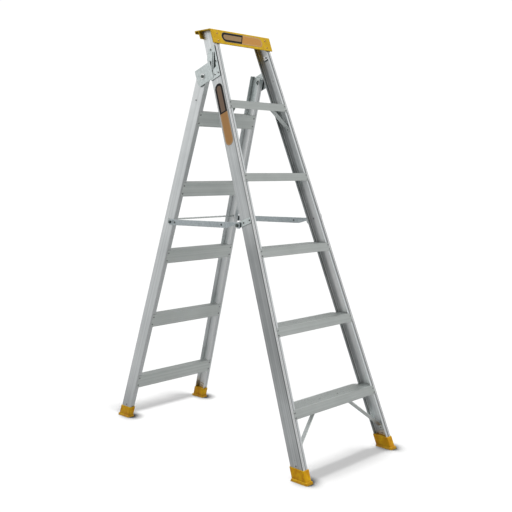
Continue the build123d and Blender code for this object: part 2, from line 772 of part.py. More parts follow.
with BuildPart() as spreader_stud:
    disc(stud_y, stud_z, arm_inner + side_gap, stud_seat + spreader_plate / 2, stud_radius + 2)
    disc(stud_y, stud_z, stud_seat + spreader_plate / 2, stud_seat + 2 * spreader_plate, stud_radius + 1)
    add(spreader_bracket_left.part, mode=Mode.SUBTRACT)
    disc(stud_y, stud_z, arm_inner, stud_seat + 2 * spreader_plate, stud_neck)
    disc(stud_y, stud_z, arm_outer - arm_side_gap, arm_inner + side_gap, stud_radius)
    disc(stud_y, stud_z, arm_outer - arm_side_gap - stud_head, arm_outer - arm_side_gap, stud_head_radius)
    fillet(spreader_stud.edges().filter_by(GeomType.CIRCLE).sort_by(Axis.X)[0], 1.0)
save(pair(spreader_stud), "spreader_studs")

# Spreader arms: a bar along the line from the rear pivot to the stud, joggled outward at the pivot
arm_length = hypot(stud_y - arm_pivot_y, stud_z - arm_pivot_z)
arm_dir = Vector(0, (stud_y - arm_pivot_y) / arm_length, (stud_z - arm_pivot_z) / arm_length)
arm_up = Vector(0, arm_dir.Z, -arm_dir.Y)
arm_origin = Vector(0, arm_pivot_y, arm_pivot_z)
joggle_end = joggle_start + joggle_run
pivot_inner = arm_pivot_x - pivot_washer
arm_half = arm_height / 2
hook_radius = stud_radius + hook_gap
ramp = radians(hook_ramp)
ramp_top = (arm_length - hook_radius * sin(ramp), hook_radius * cos(ramp))
ramp_run = (ramp_top[1] + arm_half + 1) / tan(ramp)
with BuildPart() as spreader_arm_left:
    with BuildSketch(Plane(origin=arm_origin, x_dir=arm_dir, z_dir=arm_up)):
        Polygon(
            (-arm_half, pivot_inner), (joggle_start, pivot_inner), (joggle_end, arm_inner),
            (arm_length + arm_nose, arm_inner), (arm_length + arm_nose, arm_outer), (joggle_end, arm_outer),
            (joggle_start, pivot_inner - arm_sheet), (-arm_half, pivot_inner - arm_sheet), align=None,
        )
    extrude(amount=arm_half, both=True)
    with BuildSketch(Plane(origin=arm_origin, x_dir=arm_dir, z_dir=(-1, 0, 0))) as outline:
        with Locations(((arm_length + arm_nose) / 2, 0)):
            Rectangle(arm_length + arm_nose, arm_height)
        fillet(outline.vertices().filter_by_position(Axis.X, arm_length, arm_length + 2 * arm_nose), 3.0)
        Circle(arm_half)
        Circle(pivot_radius + running_gap, mode=Mode.SUBTRACT)
        with Locations((arm_length, 0)):
            Circle(hook_radius, mode=Mode.SUBTRACT)
        Polygon(
            ramp_top, (ramp_top[0] - ramp_run, -arm_half - 1), (arm_length + hook_radius, -arm_half - 1),
            (arm_length + hook_radius, 0), (arm_length, 0), align=None, mode=Mode.SUBTRACT,
        )
    extrude(amount=2 * front_base_half, both=True, mode=Mode.INTERSECT)
save(spreader_arm_left, "spreader_arm_left")
save(other_side(spreader_arm_left), "spreader_arm_right")
with BuildPart() as spreader_pivot:
    disc(arm_pivot_y, arm_pivot_z, pivot_inner + side_gap, arm_pivot_x + web / 2, 2 * pivot_radius)
    add(rear_stile_left.part, mode=Mode.SUBTRACT)
    shank_end = arm_pivot_x + web + nut_thickness + bolt_proud
    head_seat = pivot_inner - arm_sheet - side_gap
    disc(arm_pivot_y, arm_pivot_z, head_seat, shank_end, pivot_radius)
    disc(arm_pivot_y, arm_pivot_z, head_seat - bolt_head, head_seat, bolt_head_radius)
    fillet(spreader_pivot.edges().filter_by(GeomType.CIRCLE).sort_by(Axis.X)[0], 1.5)
save(pair(spreader_pivot), "spreader_pivot_bolts")
with BuildPart() as spreader_nut:
    with BuildSketch(along_x(arm_pivot_y, arm_pivot_z, arm_pivot_x + web / 2)):
        RegularPolygon(nut_width / 2, 6, major_radius=False)
    extrude(amount=web / 2 + nut_thickness)
    add(rear_stile_left.part, mode=Mode.SUBTRACT)
    with BuildSketch(along_x(arm_pivot_y, arm_pivot_z, arm_pivot_x)):
        Circle(pivot_radius + running_gap)
    extrude(amount=2 * nut_thickness, both=True, mode=Mode.SUBTRACT)
save(pair(spreader_nut), "spreader_pivot_nuts")

# Tie rod between the rear stiles, with peened ends
rod_half = rear_half(tie_rod_along)
with BuildPart() as tie_rod:
    disc(tie_rod_y, tie_rod_z, -rod_half - rivet_head, -rod_half + web / 2, tie_rod_radius + rivet_head)
    disc(tie_rod_y, tie_rod_z, rod_half - web / 2, rod_half + rivet_head, tie_rod_radius + rivet_head)
    add(rear_stile_left.part, mode=Mode.SUBTRACT)
    add(rear_stile_right.part, mode=Mode.SUBTRACT)
    disc(tie_rod_y, tie_rod_z, -rod_half - rivet_head, rod_half + rivet_head, tie_rod_radius)
save(tie_rod, "tie_rod")

# Plain labels
with BuildPart() as stile_label:
    with BuildSketch(front_web):
        with Locations((-front_depth / 2, bracket_low - stile_label_drop - stile_label_length / 2)):
            SlotOverall(stile_label_length, stile_label_width, rotation=90)
    extrude(amount=label_sheet)
save(stile_label, "stile_label")
with BuildPart() as cap_label:
    with BuildSketch(front_plane.offset(-cap_face)):
        with Locations((0, cap_label_row)):
            SlotOverall(2 * (-cap_rivet_spots[0][0] - cap_label_margin), cap_label_width)
    extrude(amount=label_sheet)
save(cap_label, "cap_label")
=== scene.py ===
# %% [markdown]
# # Dressing a combination ladder
# The ladder stands open as a step ladder: a climbing section with treads, a narrower rear section
# with rungs, two spreader arms and yellow plastic ends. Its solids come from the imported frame, so
# this lesson adds what solids lack: metal, plastic and print finishes, the small formed details, a
# studio and a camera. Lengths are in metres, with Z up and the climbing side facing -Y.

# %% Load the frame
import json
import math

import bmesh
import bpy
import numpy as np
from mathutils import Matrix, Vector


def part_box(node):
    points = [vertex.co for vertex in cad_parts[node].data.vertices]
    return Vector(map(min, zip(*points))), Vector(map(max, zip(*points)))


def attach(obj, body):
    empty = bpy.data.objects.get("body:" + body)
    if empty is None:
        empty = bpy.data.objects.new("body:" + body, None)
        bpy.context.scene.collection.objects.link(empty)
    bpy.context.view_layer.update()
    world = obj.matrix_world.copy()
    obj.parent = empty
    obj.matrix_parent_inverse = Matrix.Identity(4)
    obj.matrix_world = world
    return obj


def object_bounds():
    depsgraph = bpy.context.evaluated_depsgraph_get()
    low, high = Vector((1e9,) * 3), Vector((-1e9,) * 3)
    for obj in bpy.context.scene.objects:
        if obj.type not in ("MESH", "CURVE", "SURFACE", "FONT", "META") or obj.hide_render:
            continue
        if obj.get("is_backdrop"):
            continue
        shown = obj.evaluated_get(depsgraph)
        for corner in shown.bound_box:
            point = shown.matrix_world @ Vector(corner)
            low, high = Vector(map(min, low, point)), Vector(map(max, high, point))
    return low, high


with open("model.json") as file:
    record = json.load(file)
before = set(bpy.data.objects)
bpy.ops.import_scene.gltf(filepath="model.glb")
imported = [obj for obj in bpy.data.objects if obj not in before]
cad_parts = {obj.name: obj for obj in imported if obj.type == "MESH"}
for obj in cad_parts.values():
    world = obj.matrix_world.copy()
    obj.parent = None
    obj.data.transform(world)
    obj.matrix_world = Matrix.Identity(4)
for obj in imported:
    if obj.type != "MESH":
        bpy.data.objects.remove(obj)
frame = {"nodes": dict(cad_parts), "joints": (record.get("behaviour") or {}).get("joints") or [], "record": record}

cad_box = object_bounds()
nodes = frame["nodes"]
MM = 0.001

# %% [markdown]
# ## The leans of the two sections
# Drawn metal carries fine lines along the length of each piece. A stile leans back and also
# tapers inwards, so its lines follow neither Z nor X. The directions are worked out once here from
# the same angles that the stiles have, and each finish turns its pattern to one of them.

# %% Directions along the pieces
FRONT_LEAN, REAR_LEAN = math.radians(20.0), math.radians(17.4)
FRONT_TAPER, REAR_TAPER = math.radians(3.765), math.radians(2.686)
HANDS = {"left": -1, "right": 1}


def stile_direction(lean, taper, side):
    """Unit vector up a stile: the taper turns it across the section, the lean tips the section."""
    across = -side * math.sin(taper)
    up = math.cos(taper)
    return Vector((across, up * math.sin(lean), up * math.cos(lean)))


grain_of = {
    section + "_stile_" + word: stile_direction(lean, taper, side)
    for section, lean, taper in (("front", FRONT_LEAN, FRONT_TAPER), ("rear", -REAR_LEAN, REAR_TAPER))
    for word, side in HANDS.items()
}
for stile, direction in grain_of.items():
    print(stile, [round(value, 4) for value in direction])

# %% [markdown]
# ## The outer corners of the climbing section
# Marks and small pieces on the stiles are placed from one line: the outer front corner of a stile,
# which starts at its foot and runs up it. The foot is found from the box, because the boots reach
# past it by the stile's rib, their own wall and the flare of their sole.

# %% Corner lines
RIB_RISE, BOOT_WALL, SOLE_FLARE = 1.5 * MM, 3.0 * MM, 4.5 * MM
BOOT_REACH = (RIB_RISE + BOOT_WALL) / math.cos(FRONT_LEAN) + SOLE_FLARE
FRONT_FOOT = cad_box[0][1] + BOOT_REACH
STILE_HALF = 275.0 * MM
BACK = np.array([0.0, math.cos(FRONT_LEAN), -math.sin(FRONT_LEAN)])


def stile_face(side):
    """Foot of a stile's outer front corner, with the directions up the stile and out of its web."""
    up = np.array(stile_direction(FRONT_LEAN, FRONT_TAPER, side))
    out = np.cross(up, BACK) * -side
    return np.array([side * STILE_HALF, FRONT_FOOT, 0.0]), up, out


def corner_points(mesh):
    """All points of a mesh as rows."""
    points = np.empty(len(mesh.vertices) * 3)
    mesh.vertices.foreach_get("co", points)
    return points.reshape(-1, 3)


for word, side in HANDS.items():
    print(word, "corner foot", [round(float(value), 4) for value in stile_face(side)[0]])

# %% [markdown]
# ## Small tools for node trees
# A material is a tree of nodes. Writing every node by hand hides the idea behind the wiring, so
# small helpers place a node, do one sum, stretch a range, mix two colours or lay noise on a vector.
# A value that is a socket becomes a link, and any other value is set on the socket itself.

# %% Placing nodes


def feed(tree, socket, value):
    """Links an input to another socket, or sets any other value on it."""
    if isinstance(value, bpy.types.NodeSocket):
        tree.links.new(value, socket)
    else:
        socket.default_value = value


def wire(tree, made, **inputs):
    """Feeds a node's inputs by name; an underscore in a name stands for a space."""
    for name, value in inputs.items():
        feed(tree, made.inputs[name.replace("_", " ")], value)


def place(tree, kind, settings=None, **inputs):
    """Adds a node to a tree, with its settings and its inputs."""
    made = tree.nodes.new(kind)
    for name, value in (settings or {}).items():
        setattr(made, name, value)
    wire(tree, made, **inputs)
    return made


def fill(tree, made, values):
    """Feeds a node's inputs by their order."""
    for socket, value in zip(made.inputs, values):
        feed(tree, socket, value)
    return made.outputs[0]


# %% Sums


def calc(tree, operation, *values, clamp=False):
    """One sum on numbers."""
    made = place(tree, "ShaderNodeMath", {"operation": operation, "use_clamp": clamp})
    return fill(tree, made, values)


def summed(tree, base, *shares):
    """A base value plus masks, each times its share."""
    for mask, share in shares:
        base = calc(tree, "MULTIPLY_ADD", mask, share, base)
    return base


def vector_calc(tree, operation, *values):
    """One sum on vectors."""
    made = place(tree, "ShaderNodeVectorMath", {"operation": operation})
    return fill(tree, made, values)


def dot(tree, first, second):
    """How far one vector runs along another."""
    made = place(tree, "ShaderNodeVectorMath", {"operation": "DOT_PRODUCT"})
    fill(tree, made, (first, second))
    return made.outputs["Value"]


def spread(tree, value, low, high, to_low=0.0, to_high=1.0):
    """Takes the range from low to high to another range, and holds it there."""
    made = place(
        tree, "ShaderNodeMapRange", Value=value, From_Min=low, From_Max=high, To_Min=to_low, To_Max=to_high
    )
    return made.outputs["Result"]


# %% Colours, noise and relief
MIX_INPUTS, MIX_OUTPUT = (0, 6, 7), 2  # factor, both colours and the result on a Mix node


def rgb(red, green, blue):
    """Opaque colour."""
    return (red, green, blue, 1.0)


def grey(level):
    """Opaque colour with three equal parts."""
    return rgb(level, level, level)


def tint(tree, factor, first, second):
    """Colour between two colours."""
    made = place(tree, "ShaderNodeMix", {"data_type": "RGBA"})
    for index, value in zip(MIX_INPUTS, (factor, first, second)):
        feed(tree, made.inputs[index], value)
    return made.outputs[MIX_OUTPUT]


def partly(tree, mask, amount, first, second):
    """Colour taken to another one where a mask lies, by the mask times an amount."""
    return tint(tree, calc(tree, "MULTIPLY", mask, amount), first, second)


def noise(tree, vector, scale, detail, roughness=0.5, distortion=0.0):
    """Cloudy noise from 0 to 1; the scale counts its patches in a metre."""
    made = place(
        tree, "ShaderNodeTexNoise", Vector=vector, Scale=scale, Detail=detail, Roughness=roughness,
        Distortion=distortion,
    )
    return made.outputs["Fac"]


def raised(tree, height, strength, distance, normal):
    """Normal of a fine relief that lies over another normal."""
    made = place(tree, "ShaderNodeBump", Strength=strength, Distance=distance, Height=height, Normal=normal)
    return made.outputs["Normal"]


# %% Groups
NUMBER, VECTOR = "NodeSocketFloat", "NodeSocketVector"


def new_group(name, inputs, outputs):
    """Shader node group with named sockets, and its input and output nodes."""
    group = bpy.data.node_groups.new(name, "ShaderNodeTree")
    for label, kind, value in inputs:
        socket = group.interface.new_socket(label, in_out="INPUT", socket_type=kind)
        if value is not None:
            socket.default_value = value
    for label, kind in outputs:
        group.interface.new_socket(label, in_out="OUTPUT", socket_type=kind)
    print("group", name, "gives", [label for label, _ in outputs])
    return group, group.nodes.new("NodeGroupInput").outputs, group.nodes.new("NodeGroupOutput")


def use_group(tree, group, **inputs):
    """Places a group in a material with its own values."""
    return place(tree, "ShaderNodeGroup", {"node_tree": group}, **inputs).outputs


# %% [markdown]
# ## Effects that several finishes share
# Drawn lines, handling marks, worn edges, painted crevice shade and moulded grain turn up on more than one
# material.
# Each is a node group with named inputs, built once. Noise that is squeezed across a piece and
# stretched along it reads as the lines that a die leaves, so one noise at two sizes gives both the
# fine lines seen close by and the broad streaks seen from across a room.

# %% Group: drawn lines
LINE_STRETCH = (1.0, 1.0, 0.006)
CLOUD_SCALE = 5.0


def build_drawn_lines():
    """Noise stretched along Z: fine lines under a millimetre wide, broad streaks of some millimetres."""
    group, given, out = new_group(
        "drawn lines",
        [("Vector", VECTOR, None), ("Fine", NUMBER, 1500.0), ("Broad", NUMBER, 160.0)],
        [("Fine", NUMBER), ("Broad", NUMBER), ("Cloud", NUMBER)],
    )
    stretched = vector_calc(group, "MULTIPLY", given["Vector"], LINE_STRETCH)
    wire(
        group, out,
        Fine=noise(group, stretched, given["Fine"], detail=3.0, roughness=0.6),
        Broad=noise(group, stretched, given["Broad"], detail=2.0),
        Cloud=noise(group, given["Vector"], CLOUD_SCALE, detail=3.0, roughness=0.55),
    )
    return group


drawn_lines = build_drawn_lines()

# %% Group: worn edges
FLAT_MATCH, EDGE_MATCH = 0.995, 0.80


def build_worn_edges():
    """Where a rounded normal leaves the true one, an edge is near; noise breaks the mark up."""
    group, given, out = new_group(
        "worn edges",
        [("Vector", VECTOR, None), ("Radius", NUMBER, 0.0012), ("Breakup", NUMBER, 220.0)],
        [("Mask", NUMBER), ("Normal", VECTOR)],
    )
    rounded = place(group, "ShaderNodeBevel", {"samples": 6}, Radius=given["Radius"]).outputs["Normal"]
    flat = place(group, "ShaderNodeNewGeometry").outputs["Normal"]
    near_edge = spread(group, dot(group, rounded, flat), FLAT_MATCH, EDGE_MATCH)
    patchy = noise(group, given["Vector"], given["Breakup"], detail=3.0, roughness=0.6)
    broken = spread(group, patchy, 0.38, 0.62, to_low=0.35)
    wire(group, out, Mask=calc(group, "MULTIPLY", near_edge, broken, clamp=True), Normal=rounded)
    return group


worn_edges = build_worn_edges()

# %% Group: handling marks
SCRATCH_SLANT = (1.0, 0.35, 0.05)
SCRATCH_SCALE, SCRATCH_WIDTH, SCRATCH_PATCHES = 260.0, 0.012, 14.0


def build_handling_marks():
    """Smudges from soft noise, and short scratches where a thin slice of stretched noise is cut out."""
    group, given, out = new_group(
        "handling marks",
        [("Vector", VECTOR, None), ("Size", NUMBER, 9.0)],
        [("Smudge", NUMBER), ("Scratch", NUMBER)],
    )
    smudge = noise(group, given["Vector"], given["Size"], detail=5.0, roughness=0.65, distortion=0.6)
    slanted = vector_calc(group, "MULTIPLY", given["Vector"], SCRATCH_SLANT)
    line = noise(group, slanted, SCRATCH_SCALE, detail=1.0, roughness=0.4, distortion=0.3)
    off_centre = calc(group, "ABSOLUTE", calc(group, "SUBTRACT", line, 0.5))
    thin = spread(group, off_centre, SCRATCH_WIDTH, 0.0)
    rare = spread(group, noise(group, given["Vector"], SCRATCH_PATCHES, detail=1.0), 0.60, 0.68)
    wire(group, out, Smudge=spread(group, smudge, 0.42, 0.68), Scratch=calc(group, "MULTIPLY", thin, rare))
    return group


handling_marks = build_handling_marks()

# %% Group: crevice shade
OPEN_SKY, CLOSED_IN = 0.92, 0.35
# How many patches of uneven strength the painted shade breaks into in a metre.
SHADE_PATCHES = 70.0


def build_crevice_shade():
    """Painted shade where nearby surfaces close a place in, thinned by noise."""
    group, given, out = new_group(
        "crevice shade",
        [("Vector", VECTOR, None), ("Reach", NUMBER, 0.010), ("Amount", NUMBER, 0.6)],
        [("Mask", NUMBER)],
    )
    sky_seen = place(group, "ShaderNodeAmbientOcclusion", {"samples": 8}, Distance=given["Reach"])
    closed = spread(group, sky_seen.outputs["AO"], OPEN_SKY, CLOSED_IN)
    patchy = noise(group, given["Vector"], SHADE_PATCHES, detail=4.0, roughness=0.6)
    uneven = spread(group, patchy, 0.3, 0.7, to_low=0.65)
    strength = calc(group, "MULTIPLY", uneven, given["Amount"])
    wire(group, out, Mask=calc(group, "MULTIPLY", closed, strength, clamp=True))
    return group


crevice_shade = build_crevice_shade()

# %% Group: moulded grain


def build_moulded_grain():
    """Pebbled skin from rounded cells, and a slow mottle of the pigment."""
    group, given, out = new_group(
        "moulded grain",
        [("Vector", VECTOR, None), ("Grain", NUMBER, 1400.0), ("Mottle", NUMBER, 60.0)],
        [("Height", NUMBER), ("Mottle", NUMBER)],
    )
    rounded = {"feature": "SMOOTH_F1"}
    cells = place(group, "ShaderNodeTexVoronoi", rounded, Vector=given["Vector"], Scale=given["Grain"])
    mottle = noise(group, given["Vector"], given["Mottle"], detail=4.0, roughness=0.6)
    wire(group, out, Height=cells.outputs["Distance"], Mottle=spread(group, mottle, 0.3, 0.7))
    return group


moulded_grain = build_moulded_grain()

# %% [markdown]
# ## Mill-finish aluminium
# The stiles are extrusions and the treads are folded sheet, both left as they came from the mill: a
# pale, slightly green grey with lines along the length, a soft sheen and brighter rubbed edges.
# Metallic stays at 1, and roughness carries most of the story, because bare metal shows marks as
# changes of gloss more than of colour. The same builder serves every aluminium piece, turned to the
# direction of its lines. Painted shade darkens some faces: a belt of the outer webs of the front
# stiles, the skirts of the treads and the tops of the rungs. Painted highlights brighten others: the
# middle of the inner webs and the rib along the front flange, with a painted shadow line, partly dirt,
# along the rib's step, and a dark line on the web behind the corner. The rear stiles are paler: their
# inner webs carry a painted highlight from end to end, their outer webs painted shade near the floor,
# and the left one painted shade on its front flange. Corners, creases and the insides of the channels
# get painted shade as well. A face is told by the direction in which it looks, and the amount is
# drawn along a line: up the ladder, across a flange or across a web.

# %% Material helpers


def object_coordinates(tree, along=None):
    """Object coordinates, turned so that Z runs along the given direction."""
    coordinates = place(tree, "ShaderNodeTexCoord").outputs["Object"]
    if along is None:
        return coordinates
    turn = along.rotation_difference(Vector((0, 0, 1))).to_euler()
    return place(tree, "ShaderNodeMapping", Vector=coordinates, Rotation=turn).outputs["Vector"]


def new_material(name):
    """Material with an empty tree, its shader and its output."""
    made = bpy.data.materials.new(name)
    made.use_nodes = True
    tree = made.node_tree
    tree.nodes.clear()
    shader = place(tree, "ShaderNodeBsdfPrincipled")
    place(tree, "ShaderNodeOutputMaterial", Surface=shader.outputs["BSDF"])
    print("material", name)
    return made, tree, shader


def finish(names, material):
    """Gives one material to some CAD nodes."""
    for name in names:
        nodes[name].data.materials.clear()
        nodes[name].data.materials.append(material)
    print(material.name, "on", len(names), "nodes")


# %% Painted light and shade on single faces
BLACK, BRIGHT = grey(0.0), rgb(0.96, 0.97, 0.97)
UPRIGHT = ((0.0, 0.0, 0.0), (0.0, 0.0, 1.0))
TURNED_OFF, FACING = 0.86, 0.96


def toned(tree, colour, facing, line, levels, towards):
    """Painted light and shade: takes the faces that look one way towards a colour, by amounts given along a line.

    The line is a start and a unit direction. Each level is a distance along it and the amount
    there; between two levels the amount runs straight, and past the ends it stays."""
    coordinates = place(tree, "ShaderNodeTexCoord").outputs
    seen = spread(tree, dot(tree, coordinates["Normal"], facing), TURNED_OFF, FACING)
    start, way = line
    reach = dot(tree, vector_calc(tree, "SUBTRACT", coordinates["Object"], start), way)
    low, high = levels[0][0], levels[-1][0]
    ramp = place(tree, "ShaderNodeValToRGB", Fac=spread(tree, reach, low, high))
    stops = ramp.color_ramp.elements
    for distance, _ in levels[1:-1]:
        stops.new((distance - low) / (high - low))
    for stop, (_, amount) in zip(stops, levels):
        stop.color = grey(amount)
    return partly(tree, seen, ramp.outputs["Color"], colour, towards)


# %% Aluminium builder
ALUMINIUM_RUBBED, ALUMINIUM_SCRATCHED = rgb(0.80, 0.82, 0.82), rgb(0.82, 0.83, 0.83)
# Colours of the painted shade in creases and in the hollows of the channels.
ALUMINIUM_CREASE_SHADE, ALUMINIUM_HOLLOW = rgb(0.12, 0.125, 0.12), rgb(0.26, 0.27, 0.27)


def aluminium(name, along, dark, pale, rough, tones):
    """Streaks along the piece between two greys, then painted light and shade on single faces.

    Edges and scratches are bright, and corners and hollows get painted shade. Streaks, smudges and
    edges change the gloss, and the fine lines are a relief of at most a tenth of a millimetre."""
    made, tree, shader = new_material(name)
    spot = object_coordinates(tree, along)
    lines = use_group(tree, drawn_lines, Vector=spot)
    marks = use_group(tree, handling_marks, Vector=spot, Size=11.0)
    edges = use_group(tree, worn_edges, Vector=spot, Radius=0.9 * MM)
    # Painted shade: the short reach darkens creases, the long one the hollows of the channels.
    crease_shade = use_group(tree, crevice_shade, Vector=spot, Reach=6.0 * MM, Amount=0.6)
    hollow = use_group(tree, crevice_shade, Vector=spot, Reach=35.0 * MM, Amount=0.12)
    streak = summed(tree, 0.0, (lines["Broad"], 0.6), (lines["Cloud"], 0.4))
    colour = tint(tree, spread(tree, streak, 0.33, 0.67), dark, pale)
    for tone in tones:
        colour = toned(tree, colour, *tone)
    colour = partly(tree, edges["Mask"], 0.6, colour, ALUMINIUM_RUBBED)
    colour = partly(tree, marks["Scratch"], 0.35, colour, ALUMINIUM_SCRATCHED)
    colour = tint(tree, crease_shade["Mask"], colour, ALUMINIUM_CREASE_SHADE)
    colour = tint(tree, hollow["Mask"], colour, ALUMINIUM_HOLLOW)
    gloss = summed(
        tree, rough - 0.11, (marks["Smudge"], 0.10), (lines["Broad"], 0.12), (edges["Mask"], -0.12)
    )
    relief = raised(tree, lines["Fine"], strength=0.35, distance=0.1 * MM, normal=edges["Normal"])
    wire(tree, shader, Base_Color=colour, Roughness=gloss, Metallic=1.0, Normal=relief)
    return made


# %% Aluminium of the stiles
STILE_DARK, STILE_PALE = rgb(0.54, 0.57, 0.575), rgb(0.92, 0.95, 0.955)
REAR_DARK, REAR_PALE = rgb(0.70, 0.73, 0.735), rgb(0.94, 0.97, 0.975)
STILE_ROUGH = 0.40
ACROSS = Vector((1, 0, 0))
FRONT_FACE = Vector((0, -math.cos(FRONT_LEAN), math.sin(FRONT_LEAN)))
# Painted shade on the outer webs of the front stiles, by height up the ladder.
OUTER_WEB_SHADE = [
    (0.05, 0.26), (0.15, 0.19), (0.27, 0.13), (0.42, 0.36), (0.84, 0.36), (0.95, 0.16), (1.20, 0.16),
    (1.36, 0.22), (1.56, 0.0),
]
# Painted highlight on the middle of the inner webs, and painted shade near their top.
INNER_WEB_HIGHLIGHT = [(0.15, 0.08), (0.30, 0.27), (0.42, 0.55), (0.54, 0.95), (1.04, 0.80), (1.10, 0.0)]
INNER_WEB_TOP_SHADE = [(1.12, 0.0), (1.30, 0.12)]
# A dark line on the web just behind the front corner.
CORNER_LINE = [(0.0, 0.45), (4.0 * MM, 0.45), (6.0 * MM, 0.0)]
RIB = 10.0 * MM
# Painted highlight on the rib of the front flange, and a painted shadow line, partly dirt, beside its step.
RIB_HIGHLIGHT = [(RIB, 0.8), (RIB + 1.0 * MM, 0.0)]
RIB_STEP_SHADOW = [(RIB + 0.5 * MM, 0.0), (RIB + 2.0 * MM, 0.5), (RIB + 6.0 * MM, 0.5), (RIB + 8.0 * MM, 0.0)]
REAR_BACK = np.array([0.0, math.cos(REAR_LEAN), math.sin(REAR_LEAN)])
# Rear stiles: painted highlight on the inner webs, painted shade low on the outer webs and on the left one's front
# flange.
REAR_INNER_HIGHLIGHT = [(0.0, 0.7), (1.0, 0.6)]
REAR_OUTER_SHADE = [(0.05, 0.20), (0.16, 0.06), (0.30, 0.0), (0.50, 0.0), (1.20, 0.06)]
REAR_FLANGE_SHADE = [(10.0 * MM, 0.19), (20.0 * MM, 0.0)]
for stile, direction in grain_of.items():
    side = HANDS[stile.split("_")[-1]]
    out = ACROSS * side
    if stile.startswith("front"):
        colours = (STILE_DARK, STILE_PALE)
        foot, _, outward = stile_face(side)
        over_flange, over_web = (tuple(foot), tuple(-outward)), (tuple(foot), tuple(BACK))
        tones = [
            (out, UPRIGHT, OUTER_WEB_SHADE, BLACK), (out, over_web, CORNER_LINE, BLACK),
            (-out, UPRIGHT, INNER_WEB_HIGHLIGHT, BRIGHT), (-out, UPRIGHT, INNER_WEB_TOP_SHADE, BLACK),
            (FRONT_FACE, over_flange, RIB_HIGHLIGHT, BRIGHT), (FRONT_FACE, over_flange, RIB_STEP_SHADOW, BLACK),
        ]
    else:
        colours = (REAR_DARK, REAR_PALE)
        tones = [(-out, UPRIGHT, REAR_INNER_HIGHLIGHT, BRIGHT), (out, UPRIGHT, REAR_OUTER_SHADE, BLACK)]
        if stile.endswith("left"):
            start = REAR_BACK * float((corner_points(nodes[stile].data) @ REAR_BACK).min())
            tones.append((-Vector(REAR_BACK), (tuple(start), tuple(REAR_BACK)), REAR_FLANGE_SHADE, BLACK))
    finish([stile], aluminium("aluminium " + stile, direction, *colours, STILE_ROUGH, tones))

# %% Aluminium of the treads and rungs
TREAD_DARK, TREAD_PALE = rgb(0.60, 0.64, 0.62), rgb(0.76, 0.80, 0.78)
TREAD_ROUGH, RUNG_ROUGH = 0.44, 0.46
RUNG_TOP = Vector((0, -math.sin(REAR_LEAN), math.cos(REAR_LEAN)))
# Painted shade on the skirts of the treads and on the tops of the rungs.
SKIRT_SHADE = [(0.0, 0.26), (1.0, 0.30)]
RUNG_TOP_SHADE = [(0.0, 0.38), (1.0, 0.38)]
for word, section, rough, facing, levels in (
    ("treads", "front", TREAD_ROUGH, FRONT_FACE, SKIRT_SHADE),
    ("rungs", "rear", RUNG_ROUGH, RUNG_TOP, RUNG_TOP_SHADE),
):
    tones = [(facing, UPRIGHT, levels, BLACK)]
    metal = aluminium("aluminium " + word, ACROSS, TREAD_DARK, TREAD_PALE, rough, tones)
    stem = section + "_tread_"
    finish([name for name in nodes if name.startswith(stem) and not name.endswith("rivets")], metal)

# %% [markdown]
# ## Galvanised and plated steel
# The hinge brackets, spreaders and knee braces are pressed steel with a zinc skin. Zinc freezes in
# flat crystals, so neighbouring patches differ a little in tone and gloss: a cell pattern gives each
# patch one random tone. Creases get painted shade, and so do the brackets' folds that face forward.
# Bolts, washers and nuts are plated, with no patches, and the hinge nuts are blackened.

# %% Steel builders
# The second colour is painted shade for creases and corners of the zinc.
ZINC_RUBBED, ZINC_CREASE_SHADE, PLATE_RUBBED = rgb(0.86, 0.87, 0.87), rgb(0.09, 0.10, 0.10), rgb(0.88, 0.88, 0.87)


def zinc_steel(name, dark, pale, rough, shade_amount, forward_shade=None):
    """Flat crystals: each cell has a tone and a gloss of its own; edges are bright, corners get painted shade.

    Forward shade, where given, holds the levels of painted shade on the faces that look forward."""
    made, tree, shader = new_material(name)
    spot = object_coordinates(tree)
    cells = place(tree, "ShaderNodeTexVoronoi", Vector=spot, Scale=170.0, Randomness=1.0)
    crystal = place(tree, "ShaderNodeSeparateColor", Color=cells.outputs["Color"]).outputs
    marks = use_group(tree, handling_marks, Vector=spot, Size=26.0)
    edges = use_group(tree, worn_edges, Vector=spot, Radius=1.0 * MM, Breakup=300.0)
    # Painted shade in creases and corners, by the amount given.
    crease_shade = use_group(tree, crevice_shade, Vector=spot, Reach=10.0 * MM, Amount=shade_amount)
    patch = summed(tree, 0.0, (crystal["Red"], 0.6), (marks["Smudge"], 0.4))
    colour = tint(tree, patch, dark, pale)
    if forward_shade is not None:
        colour = toned(tree, colour, FRONT_FACE, UPRIGHT, forward_shade, BLACK)
    colour = partly(tree, edges["Mask"], 0.7, colour, ZINC_RUBBED)
    colour = tint(tree, crease_shade["Mask"], colour, ZINC_CREASE_SHADE)
    gloss = summed(tree, rough - 0.06, (crystal["Green"], 0.12), (marks["Smudge"], 0.10))
    grain = noise(tree, spot, 900.0, detail=2.0)
    relief = raised(tree, grain, strength=0.25, distance=0.1 * MM, normal=edges["Normal"])
    wire(tree, shader, Base_Color=colour, Roughness=gloss, Metallic=1.0, Normal=relief)
    return made


def plated_steel(name, dark, pale, rough):
    """Smooth plating: smudges are darker and less glossy, edges are rubbed bright."""
    made, tree, shader = new_material(name)
    spot = object_coordinates(tree)
    marks = use_group(tree, handling_marks, Vector=spot, Size=120.0)
    edges = use_group(tree, worn_edges, Vector=spot, Radius=0.5 * MM, Breakup=600.0)
    colour = tint(tree, marks["Smudge"], pale, dark)
    colour = partly(tree, edges["Mask"], 0.6, colour, PLATE_RUBBED)
    gloss = summed(tree, rough, (marks["Smudge"], 0.18))
    wire(tree, shader, Base_Color=colour, Roughness=gloss, Metallic=1.0, Normal=edges["Normal"])
    return made


